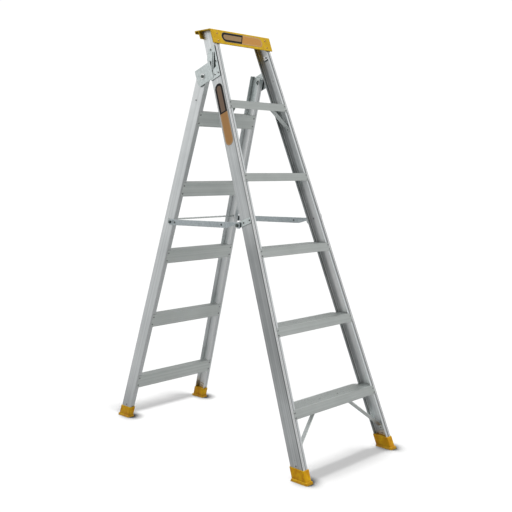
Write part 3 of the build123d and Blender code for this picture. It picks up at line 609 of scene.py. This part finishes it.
# %% Steel finishes
# Levels of painted shade on the brackets' faces that look forward.
FOLD_SHADE = [(0.0, 0.70), (1.0, 0.70)]
bracket_zinc = zinc_steel(
    "zinc brackets", rgb(0.58, 0.64, 0.635), rgb(0.82, 0.88, 0.875), rough=0.36, shade_amount=0.95, forward_shade=FOLD_SHADE
)
arm_zinc = zinc_steel("zinc arms", rgb(0.47, 0.53, 0.55), rgb(0.66, 0.72, 0.74), rough=0.36, shade_amount=0.80)
brace_zinc = zinc_steel("zinc braces", rgb(0.62, 0.66, 0.65), rgb(0.78, 0.82, 0.81), rough=0.42, shade_amount=0.30)
bolt_plate = plated_steel("plated bolts", rgb(0.07, 0.09, 0.085), rgb(0.20, 0.23, 0.22), rough=0.26)
nut_plate = plated_steel("blackened nuts", rgb(0.008, 0.013, 0.011), rgb(0.030, 0.042, 0.038), rough=0.45)
washer_plate = plated_steel("plated washers", rgb(0.66, 0.68, 0.68), rgb(0.88, 0.90, 0.90), rough=0.22)
rivet_plate = plated_steel("rivet aluminium", rgb(0.26, 0.27, 0.27), rgb(0.46, 0.48, 0.48), rough=0.34)
bright_rivet = plated_steel("bracket rivets", rgb(0.70, 0.72, 0.72), rgb(0.92, 0.93, 0.93), rough=0.30)
cap_rivet_plate = plated_steel("cap rivet paint", rgb(0.52, 0.26, 0.10), rgb(0.72, 0.42, 0.18), rough=0.40)
plate_bright = plated_steel("plated boot plates", rgb(0.62, 0.59, 0.50), rgb(0.94, 0.92, 0.84), rough=0.42)

# %% [markdown]
# ## Mustard plastic
# The cap and the boots are moulded in one mustard yellow. Moulded plastic has a fine pebbled skin, a
# slow drift of pigment and paler scuffed edges; the boots are softer and dirtier near the floor, so
# their colour goes towards brown over the last centimetre and a half. Their hollows get painted
# shade. The hinge bushes are dark nylon, and the dark sheets that paint the shade in the bracket
# slots are made by the same builder.

# %% Moulding builder
DIRT_TOP = 16.0 * MM
FLOOR_DIRT, HOLLOW_SHADE = rgb(0.16, 0.10, 0.03), rgb(0.10, 0.05, 0.012)


def moulded(name, deep, bright, scuff, rim, rough, grain, floor_dirt, shade):
    """Pigment between a deep and a bright tone under a pebbled skin, scuffed along rims and edges.

    Dirt fades from the floor up to its top line, and hollows go dark by the amount of shade."""
    made, tree, shader = new_material(name)
    spot = object_coordinates(tree)
    skin = use_group(tree, moulded_grain, Vector=spot, Grain=grain, Mottle=45.0)
    marks = use_group(tree, handling_marks, Vector=spot, Size=40.0)
    edges = use_group(tree, worn_edges, Vector=spot, Radius=1.4 * MM, Breakup=180.0)
    rims = use_group(tree, worn_edges, Vector=spot, Radius=rim, Breakup=90.0)
    hollow = use_group(tree, crevice_shade, Vector=spot, Reach=30.0 * MM, Amount=shade)
    colour = partly(tree, skin["Mottle"], 0.7, deep, bright)
    colour = partly(tree, rims["Mask"], 0.8, colour, scuff)
    colour = partly(tree, edges["Mask"], 0.55, colour, scuff)
    height = place(tree, "ShaderNodeSeparateXYZ", Vector=spot).outputs["Z"]
    low = calc(tree, "MULTIPLY", spread(tree, height, DIRT_TOP, 0.0), floor_dirt)
    dirty = calc(tree, "MULTIPLY", low, summed(tree, 0.4, (marks["Smudge"], 0.6)))
    colour = tint(tree, dirty, colour, FLOOR_DIRT)
    colour = tint(tree, hollow["Mask"], colour, HOLLOW_SHADE)
    gloss = summed(tree, rough, (marks["Smudge"], 0.12))
    relief = raised(tree, skin["Height"], strength=0.30, distance=0.15 * MM, normal=edges["Normal"])
    wire(tree, shader, Base_Color=colour, Roughness=gloss, Normal=relief, Specular_IOR_Level=0.20)
    return made


# %% Moulded plastics
cap_mustard = moulded(
    "mustard cap", rgb(0.70, 0.41, 0.008), rgb(0.94, 0.63, 0.012), rgb(0.96, 0.74, 0.05),
    rim=2.6 * MM, rough=0.40, grain=1300.0, floor_dirt=0.0, shade=0.85,
)
boot_mustard = moulded(
    "mustard boots", rgb(0.60, 0.22, 0.001), rgb(0.96, 0.62, 0.003), rgb(0.98, 0.74, 0.02),
    rim=4.2 * MM, rough=0.50, grain=1000.0, floor_dirt=0.5, shade=0.5,
)
bush_nylon = moulded(
    "bush nylon", rgb(0.020, 0.022, 0.021), rgb(0.036, 0.040, 0.038), rgb(0.10, 0.11, 0.105),
    rim=0.5 * MM, rough=0.42, grain=1500.0, floor_dirt=0.0, shade=0.0,
)
# A dark sheet for the brackets' slots, which paints the shade of the recess.
slot_shade_sheet = moulded(
    "slot shade sheet", rgb(0.040, 0.055, 0.050), rgb(0.10, 0.13, 0.12), rgb(0.16, 0.19, 0.18),
    rim=0.4 * MM, rough=0.55, grain=1500.0, floor_dirt=0.0, shade=0.0,
)

# %% [markdown]
# ## Finishes on their solids
# A solid keeps its mesh and only changes its material, so the finishes are handed out by name. All
# the rivets get one finish first, and then the few bright and painted ones get their own.

# %% Put the finishes on their nodes
rivet_nodes = [name for name in nodes if name.endswith("_rivets")]


def both(*stems):
    """Names of the left and the right node of each stem."""
    return [stem + word for stem in stems for word in HANDS]


finish(both("hinge_bracket_", "rear_insert_", "spreader_bracket_"), bracket_zinc)
finish(both("spreader_arm_"), arm_zinc)
finish(both("lower_brace_", "upper_brace_") + ["tie_rod"], brace_zinc)
finish(["hinge_washers"], washer_plate)
finish(["hinge_bolts", "spreader_studs", "spreader_pivot_bolts", "spreader_pivot_nuts"], bolt_plate)
finish(["hinge_nuts"], nut_plate)
finish(rivet_nodes, rivet_plate)
finish(["hinge_bracket_rivets", "rear_insert_rivets"], bright_rivet)
finish(["cap_rivets"], cap_rivet_plate)
finish(both("front_foot_plate_", "rear_foot_plate_"), plate_bright)
finish(["top_cap"], cap_mustard)
finish(both("front_foot_", "rear_foot_"), boot_mustard)
finish(["hinge_bushes"], bush_nylon)

# %% [markdown]
# ## Plain printed labels
# Two plain pill-shaped film labels sit on the near stile and on the cap: one half is dark with a
# paler field, the other half is tan, inside a pale rim. A pill is all the points within one radius
# of a line, so the distance to that line, worked out from Object coordinates turned to the label,
# gives rim, frame and fields with one sum each.

# %% Group: label print


def build_label_print():
    """Distance in from a pill's edge, and place along and across it from -1 to 1."""
    group, given, out = new_group(
        "label print",
        [("Vector", VECTOR, None), ("Half length", NUMBER, 0.125), ("Half width", NUMBER, 0.02)],
        [("Inside", NUMBER), ("Along", NUMBER), ("Across", NUMBER)],
    )
    part = place(group, "ShaderNodeSeparateXYZ", Vector=given["Vector"]).outputs
    straight = calc(group, "SUBTRACT", given["Half length"], given["Half width"])
    past = calc(group, "SUBTRACT", calc(group, "ABSOLUTE", part["X"]), straight)
    past = calc(group, "MAXIMUM", past, 0.0)
    reach = calc(group, "ADD", calc(group, "POWER", past, 2.0), calc(group, "POWER", part["Y"], 2.0))
    wire(
        group, out,
        Inside=calc(group, "SUBTRACT", given["Half width"], calc(group, "SQRT", reach)),
        Along=calc(group, "DIVIDE", part["X"], given["Half length"]),
        Across=calc(group, "DIVIDE", part["Y"], given["Half width"]),
    )
    return group


label_print = build_label_print()

# %% Frames of the labels


def label_frame(name):
    """Centre, half sizes and axes of a flat label, from the spread of its corners.

    The axes are the main directions of the points: the longest lies along the label."""
    points = corner_points(nodes[name].data)
    centre = (points.max(0) + points.min(0)) / 2
    axes = np.linalg.svd(points - points.mean(0), full_matrices=False)[2]
    reach = np.abs((points - centre) @ axes.T).max(0)
    print(name, "half sizes", [round(value / MM, 1) for value in reach])
    return centre, reach, axes


# %% Films of the labels
RIM_EDGE, FRAME_BLUR = (0.9 * MM, 0.6 * MM), 0.3 * MM
BORDER_BLUR, FIELD_END = 0.004, (0.046, 0.050)
LINE_OUTER, LINE_INNER = (2.6 * MM, 3.0 * MM), (4.4 * MM, 4.0 * MM)
FRAME_DARK, LINE_TAN = rgb(0.010, 0.009, 0.009), rgb(0.74, 0.52, 0.30)
RIM_PALE, FILM_SCRATCHED = rgb(0.40, 0.36, 0.30), rgb(0.6, 0.58, 0.55)


def label_film(name, start_end, dark_field, frame_width, tan, slant, border):
    """Film whose first half is dark with a paler field and whose second half is tan."""
    centre, reach, axes = label_frame(name)
    along, across = axes[0], axes[1]
    along = along * math.copysign(1.0, along @ np.array(start_end))
    turn = Matrix((along, across, np.cross(along, across))).to_euler()
    made, tree, shader = new_material("film " + name)
    spot = object_coordinates(tree)
    moved = vector_calc(tree, "SUBTRACT", spot, tuple(centre))
    local = place(tree, "ShaderNodeMapping", Vector=moved, Rotation=turn).outputs["Vector"]
    pill = use_group(tree, label_print, Vector=local, Half_length=reach[0], Half_width=reach[1])
    inside = pill["Inside"]
    split = summed(tree, pill["Along"], (pill["Across"], slant))
    in_frame = spread(tree, inside, frame_width - FRAME_BLUR, frame_width)
    before_end = spread(tree, split, border - FIELD_END[0], border - FIELD_END[1])
    first = partly(tree, in_frame, before_end, FRAME_DARK, dark_field)
    second = partly(tree, spread(tree, inside, *LINE_OUTER), spread(tree, inside, *LINE_INNER), tan, LINE_TAN)
    past_border = spread(tree, split, border - BORDER_BLUR, border + BORDER_BLUR)
    colour = tint(tree, past_border, first, second)
    colour = tint(tree, spread(tree, inside, *RIM_EDGE), colour, RIM_PALE)
    marks = use_group(tree, handling_marks, Vector=spot, Size=60.0)
    colour = partly(tree, marks["Scratch"], 0.25, colour, FILM_SCRATCHED)
    gloss = summed(tree, 0.38, (marks["Smudge"], 0.15))
    wire(tree, shader, Base_Color=colour, Roughness=gloss, Specular_IOR_Level=0.2)
    finish([name], made)


label_film(
    "stile_label", start_end=(0, 0, -1), dark_field=rgb(0.26, 0.175, 0.12), frame_width=10.5 * MM,
    tan=rgb(0.56, 0.29, 0.10), slant=0.0, border=-0.04,
)
label_film(
    "cap_label", start_end=(1, 0, 0), dark_field=rgb(0.42, 0.27, 0.13), frame_width=10.0 * MM,
    tan=rgb(0.68, 0.33, 0.08), slant=-0.08, border=0.0,
)

# %% [markdown]
# ## Rivet centres
# The rivets are blind rivets: each was set by pulling a steel pin until it snapped, which leaves a
# small rimmed end in the middle of its dome. The places are found from the rivet solids themselves.
# Each solid is a shape turned about an axis, so two of its three spreads are alike and the odd one
# out is the axis; the dome is the end nearer to its widest ring. A profile turned about that axis
# and repeated at every seat makes all the centres of one row a single mesh.

# %% Find the rivets
MERGE_STEP, RING_BAND = 0.002 * MM, 0.02 * MM


def separate_solids(mesh):
    """Points of each connected solid in a mesh of loose triangles.

    Points in one place are merged, then every triangle hands its smallest label round until
    nothing changes, so each solid ends with one label."""
    points = corner_points(mesh)
    mesh.calc_loop_triangles()
    corners = np.empty(len(mesh.loop_triangles) * 3, dtype=np.int64)
    mesh.loop_triangles.foreach_get("vertices", corners)
    cells = np.round(points / MERGE_STEP)
    _, first, merged = np.unique(cells, axis=0, return_index=True, return_inverse=True)
    triangles = merged.reshape(-1)[corners.reshape(-1, 3)]
    label = np.arange(len(first))
    while True:
        least = label[triangles].min(axis=1)
        handed = label.copy()
        np.minimum.at(handed, triangles.reshape(-1), np.repeat(least, 3))
        if np.array_equal(handed, label):
            break
        label = handed
    return [points[first][label == number] for number in np.unique(label)]


def dome_seat(points):
    """Top of a rivet's dome and the direction it points.

    The axis is the eigenvector whose eigenvalue stands apart from the other two."""
    centre = points.mean(0)
    values, vectors = np.linalg.eigh(np.cov((points - centre).T))
    axis = vectors[:, 0] if values[1] - values[0] > values[2] - values[1] else vectors[:, 2]
    height = (points - centre) @ axis
    across = np.linalg.norm(points - centre - np.outer(height, axis), axis=1)
    widest = height[across > across.max() - RING_BAND].mean()
    if height.max() - widest > widest - height.min():
        axis, height = -axis, -height
    return centre + axis * height.max(), axis


seats = {name: [dome_seat(points) for points in separate_solids(nodes[name].data)] for name in rivet_nodes}
print("rivets found:", {name: len(found) for name, found in seats.items()})

# %% Pieces from meshes


def mesh_piece(name, points, faces, material, body, smooth=True):
    """Object from points and faces, its faces turned outward, riding on a body."""
    mesh = bpy.data.meshes.new(name)
    mesh.from_pydata(points.tolist(), [], faces)
    shape = bmesh.new()
    shape.from_mesh(mesh)
    bmesh.ops.recalc_face_normals(shape, faces=shape.faces)
    shape.to_mesh(mesh)
    shape.free()
    mesh.polygons.foreach_set("use_smooth", np.full(len(mesh.polygons), smooth))
    mesh.materials.append(material)
    piece = bpy.data.objects.new(name, mesh)
    bpy.context.scene.collection.objects.link(piece)
    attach(piece, body)
    print(name, "on", body, len(points), "points", len(faces), "faces")


# %% Turned shapes


def turned(profile, steps):
    """Surface of a profile (radius, height) turned about Z, as a ring of points for each profile point.

    The first and last profile points lie on the axis, so each end closes to one point."""
    angle = np.arange(steps) * 2 * np.pi / steps
    radius, height = profile[1:-1].T
    circle = (np.outer(radius, np.cos(angle)), np.outer(radius, np.sin(angle)))
    ring = np.stack([*circle, np.outer(height, np.ones(steps))], axis=-1).reshape(-1, 3)
    ends = np.array([[0, 0, profile[0, 1]], [0, 0, profile[-1, 1]]])
    rows = len(radius)
    row, column = np.meshgrid(np.arange(rows - 1), np.arange(steps), indexing="ij")
    here = (row * steps + column).reshape(-1)
    beside = (row * steps + (column + 1) % steps).reshape(-1)
    quads = np.stack([here, beside, beside + steps, here + steps], axis=1)
    index = np.arange(steps)
    step_on = (index + 1) % steps
    first = np.full(steps, len(ring))
    base = (rows - 1) * steps
    start_fan = np.stack([first, step_on, index], axis=1)
    end_fan = np.stack([first + 1, base + index, base + step_on], axis=1)
    return np.vstack([ring, ends]), quads, np.vstack([start_fan, end_fan])


def copies(shape, places):
    """One shape repeated at every seat: its Z turned to the seat's direction, its origin to the spot."""
    points, quads, fans = shape
    turns = np.array([Vector(axis).to_track_quat("Z", "Y").to_matrix() for _, axis in places])
    spots = np.array([spot for spot, _ in places])
    moved = np.einsum("kij,pj->kpi", turns, points) + spots[:, None, :]
    offset = (np.arange(len(places)) * len(points))[:, None, None]
    return moved.reshape(-1, 3), (quads[None] + offset).reshape(-1, 4), (fans[None] + offset).reshape(-1, 3)


def rivet_row(name, profile, steps, places, body):
    """One turned shape at every place, as one piece."""
    points, quads, fans = copies(turned(profile, steps), places)
    mesh_piece(name, points, quads.tolist() + fans.tolist(), pin_steel, body)


# %% Rivet centres
PIN_STEPS = 16
PIN_PROFILE = np.array([
    (0, -0.40), (1.95, -0.40), (1.90, 0.02), (1.66, 0.22), (1.42, 0.24), (1.22, 0.10),
    (1.10, 0.06), (0, 0.10),
]) * MM
# Wide pins are dark discs larger than real pin ends, partly painted shade on the domes.
WIDE_PIN = PIN_PROFILE * (1.6, 1.8)
REAR_RIVETS, INSERT_RIVETS = ["rear_tread_rivets", "rear_foot_rivets"], ["rear_insert_rivets"]
BRACKET_RIVETS = ["hinge_bracket_rivets", "spreader_bracket_rivets"]
FRONT_RIVETS = [name for name in rivet_nodes if name not in REAR_RIVETS + INSERT_RIVETS + BRACKET_RIVETS]
pin_steel = plated_steel("rivet pins", grey(0.035), grey(0.12), rough=0.42)
for name, body, wanted, profile in (
    ("rivet_pins_front", "front_section", FRONT_RIVETS, PIN_PROFILE),
    ("rivet_pins_rear", "rear_section", REAR_RIVETS, PIN_PROFILE),
    ("rivet_pins_inserts", "rear_section", INSERT_RIVETS, WIDE_PIN),
    ("rivet_pins_brackets", "front_section", BRACKET_RIVETS, WIDE_PIN),
):
    places = [seat for row in wanted for seat in seats[row]]
    rivet_row(name, profile, PIN_STEPS, places, body)

# %% [markdown]
# ## Small formed pieces
# Some small things are too fine for the solids: a dark sheet in the slot of each hinge bracket,
# which paints the shade of the recess; a backing plate inside each front stile under the bracket's
# top rivet, whose dark lip paints the shade along its lower edge, with the set ends of the bracket's
# rivets; and two rivets in each spreader arm. They lie on flat faces, so each is drawn in its face's
# own coordinates and carried to the ladder by that face's three directions. On a stile's web these
# count back from its front corner, up from the hinge bolt and out of the web.

# %% Slot shade sheets, backing plates and set rivet ends
HINGE_ALONG = 1645.47 * MM
SLOT = np.array([(11.3, 68.6), (34.0, 5.6), (17.9, 9.3), (7.9, 68.6)]) * MM
BACKING = np.array([(8.0, 77.0), (46.0, 77.0), (46.0, 97.0), (8.0, 97.0)]) * MM
BACKING_LIP = np.array([(8.0, 74.5), (46.0, 74.5), (46.0, 77.0), (8.0, 77.0)]) * MM
RIVET_SPOTS = np.array([(28.0, 86.0), (9.5, 30.0), (11.0, -20.0), (32.0, -20.0)]) * MM
WEB, BACKING_SHEET, LIP_DEPTH = 2.0 * MM, 1.2 * MM, 5.0 * MM
PAD_BACK, PAD_FACE = 0.02 * MM, 0.9 * MM
INNER_LEVELS = np.array([WEB + BACKING_SHEET, WEB, WEB, WEB])


def prism(outline, first, last):
    """Straight prism: the outline's points at two depths, sides between them and both ends closed."""
    count = len(outline)
    points = np.vstack([np.column_stack([outline, np.full(count, depth)]) for depth in (first, last)])
    index = np.arange(count)
    beside = (index + 1) % count
    sides = np.stack([index, beside, beside + count, index + count], axis=1)
    return points, sides.tolist() + [index.tolist(), (index + count).tolist()]


set_ends = []
for word, side in HANDS.items():
    foot, up, out = stile_face(side)
    for name, outline, first, last, material, slot in (
        # A dark sheet in each bracket slot: painted shade for the recess.
        ("bracket_slot_shade_", SLOT, PAD_BACK, PAD_FACE, slot_shade_sheet, "bush_plastic"),
        ("bracket_backing_", BACKING, -WEB - BACKING_SHEET, -WEB, washer_plate, "galvanised_steel"),
        # The dark lip is painted shade along the backing plate's lower edge.
        ("bracket_backing_shaded_lip_", BACKING_LIP, -WEB - LIP_DEPTH, -WEB, bolt_plate, "galvanised_steel"),
    ):
        points, faces = prism(outline, first, last)
        placed = foot + points[:, :1] * BACK + (points[:, 1:2] + HINGE_ALONG) * up + points[:, 2:] * out
        mesh_piece(name + word, placed, faces, material, "front_section", False)
    spots = foot + RIVET_SPOTS[:, :1] * BACK + (RIVET_SPOTS[:, 1:] + HINGE_ALONG) * up
    set_ends += [(spot, -out) for spot in spots - INNER_LEVELS[:, None] * out]

# %% Rivet ends in the stiles and rivets in the arms
RIVET_STEPS = 20
DOME_PROFILE = np.array(
    [(0, -0.2), (4.2, -0.2), (4.2, 0.25), (3.7, 0.80), (2.8, 1.20), (1.7, 1.42), (0, 1.50)]
) * MM
FLAT_PROFILE = np.array([(0, -0.2), (3.6, -0.2), (3.6, 0.15), (3.3, 0.28), (0, 0.30)]) * MM
ARM_SHEET = 4.0 * MM
FROM_PIVOT, FROM_STUD = 52.0 * MM, 90.0 * MM
rivet_row("bracket_rivet_ends", DOME_PROFILE, RIVET_STEPS, set_ends, "front_section")
stud_spot = np.array([list(corner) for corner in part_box("spreader_studs")]).mean(axis=0)
joint_spot = {joint["name"]: np.array(joint["pos_m"]) for joint in frame["joints"]}
for word, side in HANDS.items():
    body = "spreader_" + word
    arm_box = np.array([list(corner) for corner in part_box("spreader_arm_" + word)])
    pivot = joint_spot[body + "_lift"]
    run = (stud_spot - pivot) * (0.0, 1.0, 1.0)
    length = np.linalg.norm(run)
    spots = pivot + np.outer([FROM_PIVOT, length - FROM_STUD], run / length)
    spots[:, 0] = arm_box[0, 0] if side < 0 else arm_box[1, 0]
    heads = [(spot, np.array([side, 0.0, 0.0])) for spot in spots]
    tails = [(spot - axis * ARM_SHEET, -axis) for spot, axis in heads]
    rivet_row("arm_rivets_" + word, DOME_PROFILE, RIVET_STEPS, heads, body)
    rivet_row("arm_rivet_tails_" + word, FLAT_PROFILE, RIVET_STEPS, tails, body)

# %% [markdown]
# ## Studio
# The ladder stands on a plain pale floor in soft light, with the background washed out to white.
# Bare metal is a picture of what stands round it, so the world is a grey dome with two brighter,
# wide patches: one behind the ladder on its left, which the webs mirror, and one in front on its
# right, which the front flanges mirror. A darker patch on the camera's own side shades one flank of
# every rivet and bolt, so that they stand out. The camera sees the dome as white.
# Two soft overhead lights lie along the slopes of the two sections. A second pair lights the floor
# alone: each of them is shaded only by its own section, so all of that section's treads throw their
# shadows on one strip of floor between its feet. The lowest tread is left out, because so near to
# the floor it would draw a hard edge. The rungs are thin along their slope, so their light stands a
# few degrees off it, which lays their shadows side by side. Where a boot closes the floor in, a
# contact shadow is painted into the floor's colour.

# %% Floor
# The third grey is painted contact shadow beside the boots.
FLOOR_SEEN, FLOOR_BOUNCE, FLOOR_CONTACT_SHADOW = grey(0.1025), grey(0.0452), grey(0.004)
FLOOR_HALF = 14.0
TOWARDS_BOOTS = (-0.38, 0.60, 0.70)
BOOT_SHADE, SHADE_FROM, SHADE_TO = 60.0 * MM, 0.96, 0.60


def floor_finish():
    """One pale grey for the camera and a darker one for other rays, with painted contact shadow beside the boots.
    """
    made, tree, shader = new_material("studio floor")
    seen = place(tree, "ShaderNodeLightPath").outputs["Is Camera Ray"]
    slanted = fill(tree, place(tree, "ShaderNodeCombineXYZ"), TOWARDS_BOOTS)
    closed = place(tree, "ShaderNodeAmbientOcclusion", {"samples": 16}, Distance=BOOT_SHADE, Normal=slanted)
    beside = spread(tree, closed.outputs["AO"], SHADE_FROM, SHADE_TO)
    colour = tint(tree, seen, FLOOR_BOUNCE, tint(tree, beside, FLOOR_SEEN, FLOOR_CONTACT_SHADOW))
    wire(tree, shader, Base_Color=colour, Roughness=0.9, Specular_IOR_Level=0.0)
    return made


def studio_floor(material, half):
    """Flat square sheet at floor level."""
    corners = [(-half, -half, 0), (half, -half, 0), (half, half, 0), (-half, half, 0)]
    mesh = bpy.data.meshes.new("studio_floor")
    mesh.from_pydata(corners, [], [(0, 1, 2, 3)])
    mesh.materials.append(material)
    floor = bpy.data.objects.new("studio_floor", mesh)
    bpy.context.scene.collection.objects.link(floor)
    floor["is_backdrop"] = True
    return floor


floor = studio_floor(floor_finish(), FLOOR_HALF)

# %% Light helpers


def gathered(name, pieces):
    """Collection that a light's links name."""
    made = bpy.data.collections.new(name)
    for piece in pieces:
        made.objects.link(piece)
    return made


def soft_sun(name, tip, strength, breadth, receivers, blockers=None):
    """Broad sun tipped about X, with the objects that it lights and those that shade it."""
    lamp = bpy.data.lights.new(name, "SUN")
    lamp.energy = strength
    lamp.angle = math.radians(breadth)
    holder = bpy.data.objects.new(name, lamp)
    holder.rotation_euler = (tip, 0.0, 0.0)
    bpy.context.scene.collection.objects.link(holder)
    holder.light_linking.receiver_collection = receivers
    if blockers is not None:
        holder.light_linking.blocker_collection = blockers


# %% Lights
OVERHEAD_STRENGTH, OVERHEAD_BREADTH = 1.05, 15.0
FLOOR_STRENGTH, FRONT_BREADTH, REAR_BREADTH = 16.0, 4.2, 5.5
OFF_SLOPE = math.radians(4.7)
floor_only = gathered("floor only", [floor])
all_but_floor = gathered("all but the floor", [floor])
all_but_floor.collection_objects[0].light_linking.link_state = "EXCLUDE"
body_nodes = frame["record"]["behaviour"]["bodies"]
for section, tip, floor_tip, breadth in (
    ("front_section", -FRONT_LEAN, -FRONT_LEAN, FRONT_BREADTH),
    ("rear_section", REAR_LEAN, REAR_LEAN + OFF_SLOPE, REAR_BREADTH),
):
    soft_sun("overhead " + section, tip, OVERHEAD_STRENGTH, OVERHEAD_BREADTH, all_but_floor)
    above = [nodes[name] for name in body_nodes[section] if not name.endswith("_tread_1")]
    shaders = gathered("shades of " + section, above)
    soft_sun("floor light " + section, floor_tip, FLOOR_STRENGTH, breadth, floor_only, shaders)
    print("floor light of", section, "is shaded by", len(above), "pieces")

# %% World
DOME_HEIGHTS, DOME_LEVELS = (-0.1, 0.8), (0.40, 0.62)
WHITE_SEEN = 1.05
PATCHES = (  # direction, closeness to it where the patch starts, and strength at its middle
    ((-0.48, 0.78, 0.40), 0.76, 0.50),
    ((0.70, -0.65, 0.30), 0.72, 0.32),
    ((-0.80, -0.54, 0.26), 0.84, -0.40),
)
world = bpy.data.worlds.new("studio")
world.use_nodes = True
sky = world.node_tree
sky.nodes.clear()
seen = place(sky, "ShaderNodeLightPath").outputs["Is Camera Ray"]
looking = place(sky, "ShaderNodeTexCoord").outputs["Generated"]
height = place(sky, "ShaderNodeSeparateXYZ", Vector=looking).outputs["Z"]
dome = spread(sky, height, *DOME_HEIGHTS, *DOME_LEVELS)
for way, edge, strength in PATCHES:
    dome = calc(sky, "ADD", dome, spread(sky, dot(sky, looking, way), edge, 1.0, 0.0, strength))
level = calc(sky, "MAXIMUM", dome, calc(sky, "MULTIPLY", seen, WHITE_SEEN))
shade = place(sky, "ShaderNodeCombineXYZ", X=level, Y=level, Z=level).outputs["Vector"]
back = place(sky, "ShaderNodeBackground", Color=shade, Strength=1.0)
place(sky, "ShaderNodeOutputWorld", Surface=back.outputs["Background"])
bpy.context.scene.world = world
bpy.context.scene.view_settings.view_transform = "Standard"
print("world of", len(sky.nodes), "nodes with", len(PATCHES), "patches")

# %% [markdown]
# ## Camera
# The picture was taken from the ladder's left front corner, a little above the middle of its height,
# looking slightly down. Place, turn, tilt and focal length come from matching the ladder's own lines.

# %% Camera
IMAGE_SIDE = 512
FOCAL_PIXELS, SENSOR_WIDTH = 796.0, 36.0
CAMERA_SPOT = Vector((-2.377, -2.3977, 1.1249))
CAMERA_TURN, CAMERA_TILT = math.radians(-45.54), math.radians(6.03)
level_view = Vector((-math.sin(CAMERA_TURN), math.cos(CAMERA_TURN), 0))
gaze = level_view * math.cos(CAMERA_TILT) - Vector((0, 0, math.sin(CAMERA_TILT)))
lens = bpy.data.cameras.new("camera")
lens.sensor_width = SENSOR_WIDTH
lens.lens = SENSOR_WIDTH * FOCAL_PIXELS / IMAGE_SIDE
camera = bpy.data.objects.new("camera", lens)
camera.location = CAMERA_SPOT
camera.rotation_euler = gaze.to_track_quat("-Z", "Y").to_euler()
bpy.context.scene.collection.objects.link(camera)
bpy.context.scene.camera = camera
print("camera with a focal length of", round(lens.lens, 2), "mm")

# %% [markdown]
# ## Size
# The dressed ladder must stay as large as its solids, so the two boxes are compared and their largest difference
# is printed.

# %% Sizes
grown = np.array([list(corner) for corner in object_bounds()]) - [list(corner) for corner in cad_box]
print("the two boxes differ by", round(float(np.abs(grown).max()) / MM, 3), "mm at most")
